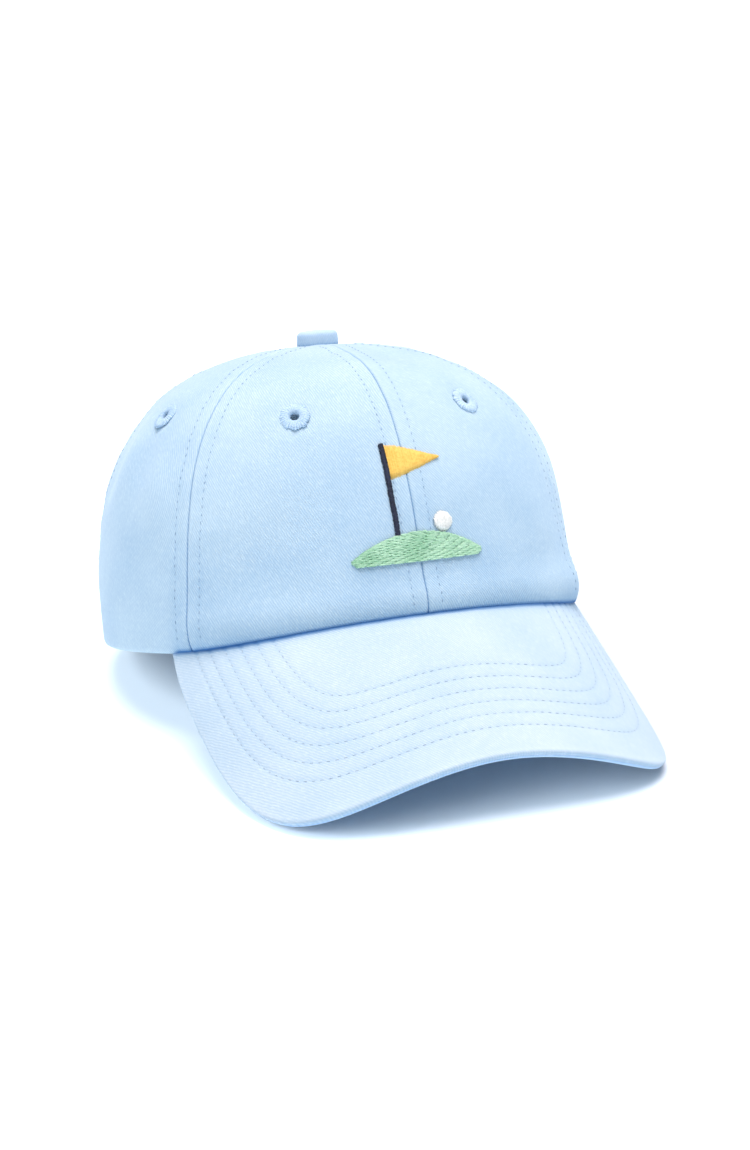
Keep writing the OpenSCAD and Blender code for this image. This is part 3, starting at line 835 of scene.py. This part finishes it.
def brim_runs(side):
    """Stitch rows that follow the outer edge, up to the crown."""
    hem_x, hem_y = outline(np.linspace(-BRIM_END, BRIM_END, 400))
    tangent = unit(np.gradient(EDGE, axis=0))
    inward = np.stack([tangent[:, 1], -tangent[:, 0]], -1)
    runs = []
    for row in BRIM_ROWS:
        flat = EDGE + inward * row
        place, _ = brim_space(flat, 0 * flat[..., 0])
        limit = np.interp(place[:, 0], hem_x, hem_y, left=999, right=999)
        keep = (place[:, 1] < limit - 1.0) & (np.abs(place[:, 0]) < END_X + 12)
        keep = keep & (edge_distance(flat) > row - 0.06)
        relief = quilting(flat)[0]
        place, out = brim_space(flat, -relief if side > 0 else BRIM_THICK + relief)
        for part in np.split(np.arange(len(flat)), np.flatnonzero(~keep)):
            part = part[keep[part]]
            if len(part) > 12:
                runs.append(stitch_line(place[part], side * out[part]))
    return runs


# ---- eyelets and button ----

EYELET_SECTION = (
    (1.55, -0.5), (1.6, 0.15), (1.95, 0.62), (2.7, 0.86), (3.6, 0.82), (4.4, 0.62), (5.0, 0.28),
    (5.25, -0.05), (4.9, -0.3), (3.4, -0.2), (2.35, -0.3), (2.3, -0.85), (3.6, -1.05), (4.5, -1.1),
    (4.6, -1.3), (3.6, -1.5), (2.4, -1.5), (1.7, -1.2),
)


def eyelet(name, at, threads=32, per=8):
    """A satin-stitched ring through the cloth: outer face, barrel and a flatter inner face."""
    centre, right, up, out = eyelet_axes(at)
    centre = centre + out * (float(soft_relief(np.array(at), np.array(EYELET_T))) + 0.02)
    rng = np.random.default_rng(int(abs(at)) + (at > 0))
    jitter = np.repeat(rng.uniform(-0.3, 0.22, threads), per)
    tall = np.repeat(rng.uniform(-0.05, 0.05, threads), per)

    def change(r, h, phi):
        rib = np.abs(np.sin(phi * threads / 2))
        face = smooth(r, 1.5, 2.4)
        r = r + face * smooth(r, 3.2, 5.0) * (jitter + 0.18 * rib)
        h = h + np.sign(h + 0.6) * face * (0.13 * rib + tall) * (np.abs(h + 0.5) > 0.45)
        return r, h

    rows, count = len(EYELET_SECTION), threads * per
    points = lathe(EYELET_SECTION, count, centre, (right, up, out), change)
    # Painted shade in the grooves between the satin threads, and a painted highlight on their crests.
    rib = np.abs(np.sin(np.arange(count) * math.pi / per))
    shade = np.repeat((rib * 1.6 - 0.9)[None, :], rows, 0)
    make_piece(name + "_ring", name, points, ring_faces(rows, count), EYELET_THREAD, shade=shade)


def button(count=120, shoulder=2.1):
    """The covered button: flat top, soft shoulder, upright side with gathers at its foot."""
    r, h = BUTTON_R, BUTTON_H
    section = [(0.02, -0.4), (r - 1.2, -0.5), (r - 0.35, -0.35), (r - 0.05, 0.1), (r + 0.05, 0.8)]
    section += [(r + 0.08, 1.8), (r + 0.02, 2.9)]
    for angle in np.radians(range(10, 91, 10)):
        section.append((r + shoulder * (math.cos(angle) - 1), h + shoulder * (math.sin(angle) - 1)))
    section += [(4.4, h + 0.12), (3.0, h + 0.2), (1.5, h + 0.24), (0.02, h + 0.25)]

    def change(wide, high, phi):
        p = np.stack([wide * np.cos(phi), wide * np.sin(phi), high], -1)
        gathers = 0.09 * np.abs(np.sin(phi * 11 + 1)) * (1 - smooth(high, 0.4, 3.0)) * smooth(wide, 3, 7)
        soft = 0.12 * waves(p, 9, 41) * smooth(wide, 1, 6)
        return wide + soft * 0.8 - gathers, high + 0.08 * waves(p, 7, 42) * (high > 1)

    centre = np.array([0, -APEX_FORWARD, CROWN_HEIGHT])
    points = lathe(section, count, centre, np.eye(3), change)
    cloth = points - centre
    cloth[..., 1] += cloth[..., 2]
    # Painted light lifts the whole button; painted shade darkens its foot where it meets the crown.
    shade = np.repeat(0.45 - 0.9 * hump([s[1] for s in section], -0.3, 0.7)[:, None], count, 1)
    faces = ring_faces(len(section), count, capped=True)
    make_piece("button", "button_cover", points, faces, BUTTON_COTTON_PAINTED_LIGHT, cloth, shade, slot="cotton_twill")


# ---- emblem ----

def on_front(x, z, lift):
    """Points on the front of the crown at x and z of the emblem's upright plane."""
    a, t = find(x, z)
    return inside(a, t, -0.08 - lift), normal(a, t)


def inside_spans(shape, level, axis):
    """Where a line at the given level crosses a closed outline, as (start, end) pairs."""
    p, q = shape, np.roll(shape, -1, 0)
    other = 1 - axis
    crosses = (p[:, other] > level) != (q[:, other] > level)
    share = (level - p[crosses, other]) / (q[crosses, other] - p[crosses, other])
    at = np.sort(p[crosses, axis] + share * (q[crosses, axis] - p[crosses, axis]))
    return list(zip(at[::2], at[1::2]))


def embroider(name, node, shape, axis, material, longest, height, seed, pitch=0.42):
    """Fills an outline with satin or fill stitches that run along an axis (0 is x, 1 is z)."""
    shape = np.asarray(shape, float)
    rng = np.random.default_rng(seed)
    low, high = shape[:, 1 - axis].min(), shape[:, 1 - axis].max()
    lines, border = [], []
    for k, level in enumerate(np.arange(low + pitch / 2, high, pitch)):
        for start, end in inside_spans(shape, level, axis):
            start, end = start - rng.uniform(0, 0.25), end + rng.uniform(0, 0.25)
            count = max(int(math.ceil((end - start) / longest)), 1)
            cuts = np.linspace(start, end, count + 1)
            if count > 1:
                cuts[1:-1] += (k % 3 - 1) * longest / 3.2 + rng.uniform(-0.3, 0.3, count - 1)
            for first, last in zip(cuts[:-1], cuts[1:]):
                span, across_it = np.linspace(first, last, 7), np.full(7, level)
                lines.append(np.stack([span, across_it] if axis == 0 else [across_it, span], -1))
                border.append((first == start, last == end))
    lines = np.array(lines)
    share = np.linspace(-1, 1, 7)
    rise = (height - 0.25) * (1 - np.abs(share) ** 3.2) ** 0.6 - 0.05
    within = (height - 0.25) * (0.72 + 0.28 * (1 - share ** 2))
    starts, ends = np.array(border).T[:, :, None]
    lift = np.where((share < 0) & starts | (share >= 0) & ends, rise, within)
    lift = lift + rng.uniform(-0.05, 0.05, (len(lines), 1))
    points, out = on_front(lines[..., 0], lines[..., 1] + EMBLEM_Z, lift)
    points, faces = tubes(points, out, pitch * 1.45, 0.5)
    shade = np.repeat(rng.uniform(-1, 1, len(lines)), len(points) // len(lines))
    make_piece(name, node, points, faces, material, shade=shade, turn_out=False)


def arc(cx, cz, r, start, end, count=40):
    angle = np.radians(np.linspace(start, end, count))
    return np.stack([cx + r * np.cos(angle), cz + r * np.sin(angle)], -1)


def emblem():
    """A generic golf green with its flag and a ball."""
    reach = math.degrees(math.acos(24 / 41))
    top = arc(0, -34, 41, 180 - reach, reach, 80)
    mound = np.concatenate([top, [[24, -1.6], [22.6, -3], [-22.6, -3], [-24, -1.6]]])
    embroider("emblem_green", "emblem_mound", mound, 0, GREEN, 5.0, 0.9, 2)
    pole = [[-7.8, 6.4], [-6.2, 6.4], [-6.2, 37.4], [-7.8, 37.4]]
    embroider("emblem_flagstaff", "emblem_pole", pole, 0, NAVY, 6.0, 1.0, 3)
    flag = [[-6.1, 37], [-2, 36.4], [4, 34.5], [13, 31.2], [4, 28.1], [-2, 26.2], [-6.1, 25.4]]
    embroider("emblem_pennant", "emblem_flag", flag, 1, YELLOW, 12.5, 0.85, 4)
    ball = arc(10, 9.6, 3.4, 0, 354, 60)
    embroider("emblem_golf_ball", "emblem_ball", ball, 1, WHITE, 9.0, 1.15, 5)


# ---- inside of the crown ----

BAND_START, BAND_TOP = 0.012, BAND_H / 190


def band_depth(a):
    """How deep the sweatband's outer face lies: deeper behind, where the strap passes outside it."""
    return BAND_DEPTH + BAND_REAR_SHIFT * np.clip((np.abs(a) - 104) / 20, 0, 1)


def sweatband():
    """A folded band of cloth round the inside of the hem, with rounded edges."""
    share = np.array([0, 0.012, 0.03, 0.06, *np.linspace(0.1, 0.9, 18), 0.94, 0.97, 0.988, 1.0])
    a, k = np.meshgrid(np.linspace(-148, 148, 260), share)
    t = mix(BAND_START, BAND_TOP, k)
    p = crown(a, t)
    belly = 0.22 * waves(p, 38, 51) * np.sin(k * math.pi) + 0.08 * waves(p, 9, 52) * smooth(k, 0.1, 0.4)
    puff = np.minimum(smooth(k, 0, 0.035), smooth(1 - k, 0, 0.035))
    middle = band_depth(a) + BAND_THICK / 2
    half = 0.12 + (BAND_THICK / 2 - 0.12) * puff
    groove = 0.18 * (hump(k, 0.93, 0.012) + hump(k, 0.09, 0.014))
    seam = 0.3 * hump(np.abs(a), 146.5, 0.35)
    outer, inner = sunk(a, t, middle - half), sunk(a, t, middle + half + belly - groove - seam)
    # Painted shade in the stitched grooves; the rolled edges are lighter (wear).
    shade = -0.4 * (hump(k, 0.93, 0.01) + hump(k, 0.09, 0.012)) + 0.3 * (1 - puff)
    sheet_piece("sweatband_cloth", "sweatband", outer, inner, BAND_CLOTH, flat_cloth(inner), shade,
        flat_size(inner), "folded", *(name + "_cloth" for name, *_ in PANELS))
    rows = []
    for k_row in (0.93, 0.09):
        line = np.linspace(-146, 146, 900)
        t_row = np.full_like(line, mix(BAND_START, BAND_TOP, k_row))
        belly = 0.22 * waves(crown(line, t_row), 38, 51) * math.sin(k_row * math.pi)
        path = sunk(line, t_row, band_depth(line) + BAND_THICK + belly - 0.16)
        rows.append(stitch_line(path, -normal(line, t_row), 3.0, 2.2))
    return rows


TAPE_DEPTH = 1.02


def tape(name, path, panels):
    """A narrow tape over a seam's raw edges: path gives angle, t and the way across."""
    a, t, ways = (np.array(column) for column in zip(*path))
    side = np.array([-1, -0.96, -0.84, -0.5, 0, 0.5, 0.84, 0.96, 1]) * TAPE_W / 2
    puff = np.array([0.3, 0.8, 1, 1, 1, 1, 1, 0.8, 0.3]) * TAPE_THICK
    out = normal(a, t)
    flat = crown(a, t)[:, None] + ways[:, None] * side[None, :, None]
    ripple = 0.12 * waves(flat, 7, 61) * np.array([0.2, 0.3, 0.8, 1, 1, 1, 0.8, 0.3, 0.2])
    top = flat + out[:, None] * (side_drop(a, t, ways, out, side) - TAPE_DEPTH)[..., None]
    low = top - out[:, None] * (puff + ripple + 0.05)[..., None]
    shade = -0.35 * hump(np.abs(side), 5.2, 0.5) + 0.15 * hump(np.abs(side), 6.4, 0.3)
    sheet_piece("tape_" + name, "seam_tape_" + name, top, low, TAPE_CLOTH, flat_cloth(low),
        np.broadcast_to(shade, top.shape[:2]), flat_size(low), "laid", *(f"panel_{at}_cloth" for at in panels))
    runs = []
    for column in (2, 6):
        line = low[:, column]
        fine = np.linspace(0, lengths(line)[-1], 400)
        runs.append(stitch_line(along(line, fine), -along(line, fine, out), 2.6, 1.9))
    return runs


def side_drop(a, t, ways, out, side):
    """How far the curved crown falls away at each place across a tape, plus the cloth's creases."""
    step = side / np.linalg.norm(across(a, np.minimum(t, 0.9)), axis=-1)[:, None]
    beside = a[:, None] + step * np.sign(np.einsum("ij,ij->i", ways, across(a, t)))[:, None]
    up = np.broadcast_to(t[:, None], beside.shape)
    drop = np.einsum("ijk,ik->ij", crown(beside, up) - crown(a, t)[:, None], out)
    near_top = smooth(t, 0.86, 0.95)[:, None]
    return mix(np.clip(drop, -3, 0.3) + soft_relief(beside, up), -0.004 * side ** 2, near_top)


def tapes():
    """The tapes over the four side seams, and the one over the middle seam from front to back."""
    runs = []
    for name, seam in (("front", FRONT_SEAM), ("rear", REAR_SEAM)):
        for side, sign in (("left", 1), ("right", -1)):
            t = np.linspace(0.02, 0.9, 90)
            a = np.full_like(t, sign * seam)
            path = zip(a, t, unit(across(a, t)))
            runs += tape(f"{name}_{side}", path, (f"{name}_{side}", f"side_{side}"))
    sideways = np.array([1.0, 0, 0])
    front = [(0.0, t, sideways) for t in np.linspace(0.02, 0.999, 90)]
    rear = [(180.0, t, sideways) for t in np.linspace(0.985, 0.38, 60)]
    return runs + tape("middle", front + rear, ("front_left", "front_right", "rear_left", "rear_right"))


def arch_path(offset, count=240):
    """Angles and heights along the opening's edge, at an offset outside it."""
    r = ARCH_R + offset
    foot = math.asin((0.4 - ARCH_BASE) / r)
    theta = np.linspace(foot, math.pi - foot, count)
    x, z = r * np.cos(theta), ARCH_BASE + r * np.sin(theta)
    x = np.where(np.abs(theta - math.pi / 2) > math.pi / 2, np.sign(x) * r, x)
    return find(x, z, back=True)


BINDING_TURN_IN = 0.0028


def binding():
    """The tape that finishes the opening's edge inside."""
    offsets = np.array([0.25, 0.6, 1.4, 3.0, 5.0, 6.6, 7.5, 7.9])
    puff = np.array([0.15, 0.35, 0.4, 0.4, 0.4, 0.4, 0.35, 0.15])
    a, t = (np.array(grid) for grid in zip(*(arch_path(offset) for offset in offsets)))
    top = inside(a, t, PANEL_THICK + 0.02)
    low = inside(a, t, PANEL_THICK + 0.07) - normal(a, t) * puff[:, None, None]
    shade = np.broadcast_to(-0.3 * hump(offsets, 6.4, 0.8)[:, None], top.shape[:2])
    area, (long, wide) = flat_size(low)
    cut = wide + BINDING_TURN_IN
    sheet_piece("opening_tape", "opening_binding", top, low, TAPE_CLOTH, flat_cloth(low), shade,
        (area * cut / wide, (long, cut)), "folded", "panel_rear_left_cloth", "panel_rear_right_cloth")
    runs = []
    for offset in (1.6, 6.2):
        a, t = arch_path(offset, 500)
        runs.append(stitch_line(*outside(a, t)))
        runs.append(stitch_line(inside(a, t, PANEL_THICK + 0.45), -normal(a, t)))
    return runs


def care_label():
    """A blank folded satin label sewn in at the left."""
    a, t = np.meshgrid(np.linspace(84, 98, 30), np.linspace(0.02, 0.12, 26))
    k = (t - 0.02) / 0.1
    lean = 0.5 * (1 - k) ** 2 * 1.4 + 0.15 * waves(crown(a, t), 12, 71) * (1 - k)
    depth = BAND_DEPTH + BAND_THICK + 0.35 + lean
    top, low = sunk(a, t, depth), sunk(a, t, depth + 0.3)
    sheet_piece("blank_label", "care_label", top, low, SATIN, flat_cloth(low), 0 * depth, flat_size(low),
        "hung", "sweatband_cloth")
    line = np.linspace(84.4, 97.6, 80)
    t_row = np.full_like(line, 0.116)
    path = sunk(line, t_row, np.full_like(line, BAND_DEPTH + BAND_THICK + 0.66))
    return [stitch_line(path, -normal(line, t_row))]


# ---- strap and buckle ----

def on_arc(turn, r, z):
    """A point of the strap's arc: turn in degrees from the back towards the wearer's right."""
    turn = np.radians(np.asarray(turn, float))
    turn, r, z = np.broadcast_arrays(turn, r, z)
    return np.stack([-r * np.sin(turn), ARC_Y + r * np.cos(turn), z], -1)


def arc_run(turn, r, z, sign=1, pitch=2.4, size=1.75, lift=0.06):
    """Stitches along the strap's arc that face out of it (sign 1) or in (-1)."""
    out = sign * unit(on_arc(turn, 1.0, 0 * z) - on_arc(turn, 0.0, 0 * z))
    return stitch_line(on_arc(turn, r, z), out, pitch, size, lift)


def strap():
    """A folded strap of the same cloth, with two lines of stitches along it."""
    turn = np.linspace(STRAP_LEFT, STRAP_RIGHT, 150)
    near_edge = np.array([0, 0.012, 0.035, 0.07, 0.1, 0.13])
    k = np.concatenate([near_edge, np.linspace(0.18, 0.82, 12), 1 - near_edge[::-1]])
    a, share = np.meshgrid(turn, k)
    z = STRAP_Z + STRAP_W * share
    end = np.minimum(smooth(a - STRAP_LEFT, 0, 0.8), smooth(STRAP_RIGHT - a, 0, 0.8))
    puff = np.minimum(smooth(share, 0, 0.05), smooth(1 - share, 0, 0.05)) * end
    groove = 0.14 * (hump(share, 0.12, 0.018) + hump(share, 0.88, 0.018))
    half = 0.15 + (STRAP_THICK / 2 - 0.15) * puff - groove
    soft = 0.03 * waves(on_arc(a, STRAP_R, z), 14, 81)
    mid = STRAP_R + STRAP_THICK / 2
    outer, inner = (on_arc(a, mid + sign * half + soft, z) for sign in (1, -1))
    # Painted shade in the stitched grooves; the rolled edges are lighter (wear).
    shade = -0.4 * (hump(share, 0.12, 0.014) + hump(share, 0.88, 0.014)) + 0.35 * (1 - puff)
    grid = on_arc(a, mid, z)
    sheet_piece("strap_cloth", "strap", outer, inner, COTTON, flat_cloth(grid, math.pi / 2), shade,
        flat_size(grid), "folded", "buckle_axle", body="strap")
    fine = np.linspace(STRAP_LEFT + 0.8, STRAP_RIGHT - 0.8, 500)
    runs = []
    for row in (0.12, 0.88):
        for sign in (1, -1):
            runs.append(arc_run(fine, mid + sign * (STRAP_THICK / 2 - 0.14), STRAP_Z + STRAP_W * row, sign))
    sew("strap_stitching", runs, SEWING, 0.4, body="strap")


def in_buckle(x, y):
    """Buckle coordinates as x and y of the cap's frame."""
    c, s = math.cos(math.radians(BUCKLE_TURN)), math.sin(math.radians(BUCKLE_TURN))
    return x * c - y * s, ARC_Y + x * s + y * c


def buckle_tab():
    """A loop of cloth round the buckle's bar, sewn behind the right rear panel."""
    eye = BUCKLE_TURN + math.degrees(math.asin(-BAR_X / BAR_Y))
    bar = np.array(in_buckle(BAR_X, BAR_Y))
    turn = np.linspace(46, eye + 1.6, 40)
    outer, inner = (on_arc(turn, r, 0)[:, :2] for r in (TAB_R + TAB_THICK, TAB_R))
    to_bar = on_arc(eye - 5, TAB_R, 0)[:2] - bar
    away = math.degrees(math.atan2(to_bar[1], to_bar[0]))
    loop = arc(*bar, 1.15, away - 115, away + 115, 16)
    if np.linalg.norm(loop[0] - outer[-1]) > np.linalg.norm(loop[-1] - outer[-1]):
        loop = loop[::-1]
    section = np.concatenate([outer, loop, inner[::-1]])
    middle = 0.5 * (outer + inner)
    centre = np.concatenate([middle, np.repeat(bar[None], len(loop), 0), middle[::-1]])
    k = np.array([0, 0.015, 0.05, 0.1, 0.14, 0.2, 0.35, 0.5, 0.65, 0.8, 0.86, 0.9, 0.95, 0.985, 1])
    pull = 1 - 0.55 * np.maximum(hump(k, 0, 0.03), hump(k, 1, 0.03))
    pull = pull - 0.2 * (hump(k, 0.14, 0.02) + hump(k, 0.86, 0.02))
    foot = STRAP_Z + 1.5
    z = foot + TAB_WIDTH * k
    flat = centre + (section - centre) * pull[:, None, None]
    points = np.concatenate([flat, np.broadcast_to(z[:, None, None], flat.shape[:2] + (1,))], -1)
    run = lengths(section)
    cloth = np.stack(np.broadcast_arrays(z[:, None], run, 0.0), -1)
    shade = np.broadcast_to(0.4 * (1 - pull)[:, None], flat.shape[:2])
    faces = ring_faces(len(k), len(section), capped=True)
    piece = make_piece("buckle_tab_cloth", "buckle_tab", points, faces, COTTON, cloth, shade)
    fine, face = np.linspace(eye + 3.2, 44, 120), TAB_R + TAB_THICK
    runs = [arc_run(fine, face - 0.12, foot + TAB_WIDTH * share) for share in (0.14, 0.86)]
    upright = np.linspace(STRAP_Z + 4.2, STRAP_Z + STRAP_W - 4.2, 60)
    runs.append(arc_run(eye + 3.4, face - 0.02, upright, pitch=2.2, size=1.6, lift=0.08))
    return runs


def brass_part(name, node, body):
    """A brass part with its CAD node's shape, ready for its edges to be rounded."""
    piece = add_object(name, frame["nodes"][node].data.copy())
    work = bmesh.new()
    work.from_mesh(piece.data)
    bmesh.ops.remove_doubles(work, verts=work.verts, dist=1e-6)
    bmesh.ops.dissolve_limit(work, angle_limit=math.radians(1), verts=work.verts, edges=work.edges)
    work.to_mesh(piece.data)
    work.free()
    piece.data.materials.clear()
    piece.data.materials.append(BRASS)
    piece.data.polygons.foreach_set("use_smooth", [True] * len(piece.data.polygons))
    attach(piece, body)
    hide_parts(node)
    return piece


def bevelled(name, node, body, width, segments=3):
    """A pressed or turned brass part with narrow rounded edges."""
    piece = brass_part(name, node, body)
    bevel = piece.modifiers.new("rounded", "BEVEL")
    bevel.width, bevel.segments, bevel.limit_method = width, segments, "ANGLE"
    bevel.angle_limit = math.radians(35)
    weigh = piece.modifiers.new("even", "WEIGHTED_NORMAL")
    weigh.keep_sharp = True


def cast(name, node, body, cell=0.00026):
    """A cast brass part: cut into even cells, then smoothed so that all its edges are soft."""
    piece = brass_part(name, node, body)
    cells = piece.modifiers.new("cells", "REMESH")
    cells.mode, cells.voxel_size, cells.use_smooth_shade = "VOXEL", cell, True
    soften = piece.modifiers.new("soften", "SMOOTH")
    soften.factor, soften.iterations = 0.5, 3


# ---- the whole cap ----

for panel_name, first_seam, last_seam, hole_at in PANELS:
    panel(panel_name, first_seam, last_seam, hole_at)
crown_stitches()
brim_cover("brim_top_cloth", "brim_top_cover", 1, BRIM_COTTON_PAINTED_LIGHT, "cotton_twill")
brim_cover("brim_under_cloth", "brim_bottom_cover", -1, UNDERSIDE)
sew("brim_stitching", brim_runs(1) + brim_runs(-1), SEWING, 0.25, 0.22)
for hole_name, hole_at in EYELETS.items():
    eyelet(f"eyelet_{hole_name}_left", hole_at)
    eyelet(f"eyelet_{hole_name}_right", -hole_at)
button()
emblem()
strap()
sew("inside_stitching", sweatband() + tapes() + care_label(), SEWING, slot="sweatband_cotton")
sew("opening_stitching", binding() + buckle_tab(), SEWING)
cast("buckle_body", "buckle_frame", "cap")
bevelled("buckle_axle", "buckle_pin", "cap", 0.00012, 2)
bevelled("buckle_cam_lever", "buckle_lever", "lever", 0.0003)

for node_name, finish in (("brim_board", BOARD), ("button_shell", STEEL), ("button_rivet", STEEL)):
    for material_slot in frame["nodes"][node_name].material_slots:
        material_slot.material = finish


# ---- stage, light and camera ----

def sun_light(name, toward, power, spread, colour, only=None):
    """A large soft light from one direction; only names a single thing that it lights."""
    data = bpy.data.lights.new(name, "SUN")
    data.energy, data.angle, data.color = power, math.radians(spread), colour
    light = add_object(name, data)
    light.rotation_mode = "QUATERNION"
    light.rotation_quaternion = Vector(toward).to_track_quat("Z", "Y")
    if only is not None:
        lit = bpy.data.collections.new(name + "_lights")
        lit.objects.link(only)
        light.light_linking.receiver_collection = lit


def floor():
    mesh = bpy.data.meshes.new("floor")
    half, z = 30.0, CAD_BOX[0][2]
    corners = [(-half, -half, z), (half, -half, z), (half, half, z), (-half, half, z)]
    mesh.from_pydata(corners, [], [(0, 1, 2, 3)])
    mesh.materials.append(backdrop("paper"))
    piece = add_object("floor", mesh)
    return piece


def camera():
    """The camera at the photograph's angle, height and distance."""
    azimuth, elevation, roll = (math.radians(angle) for angle in (-23.41, 18.61, 0.93))
    distance, side_shift, drop = 0.8312, 0.01494, 0.04022
    back = Vector((math.sin(azimuth) * math.cos(elevation), -math.cos(azimuth) * math.cos(elevation),
        math.sin(elevation)))
    right = Vector((math.cos(azimuth), math.sin(azimuth), 0))
    up = back.cross(right)
    aim = Vector((0, SHIFT[1] / 1000, (SHIFT[2] + 60) / 1000)) + side_shift * right - drop * up
    data = bpy.data.cameras.new("camera")
    data.lens, data.sensor_width = 71.0, 36.0
    eye = add_object("camera", data)
    eye.rotation_mode = "QUATERNION"
    eye.location = aim + distance * back
    facing = Matrix((right, up, back)).transposed().to_quaternion()
    eye.rotation_quaternion = facing @ Matrix.Rotation(roll, 3, "Z").to_quaternion()
    bpy.context.scene.camera = eye


def studio(ground):
    world = bpy.data.worlds.new("studio")
    bpy.context.scene.world = world
    world.use_nodes = True
    background = world.node_tree.nodes["Background"]
    background.inputs[0].default_value = (0.72, 0.86, 0.96, 1.0)
    background.inputs[1].default_value = 0.38
    sun_light("overhead", (0.03, 0.0, 1.0), 4.5, 44, (1.0, 0.93, 0.93))
    sun_light("floor_fill", (-1.0, -0.28, 0.54), 8.0, 50, (0.84, 0.94, 1.0), ground)
    bpy.context.scene.view_settings.view_transform = "Standard"


studio(floor())
camera()
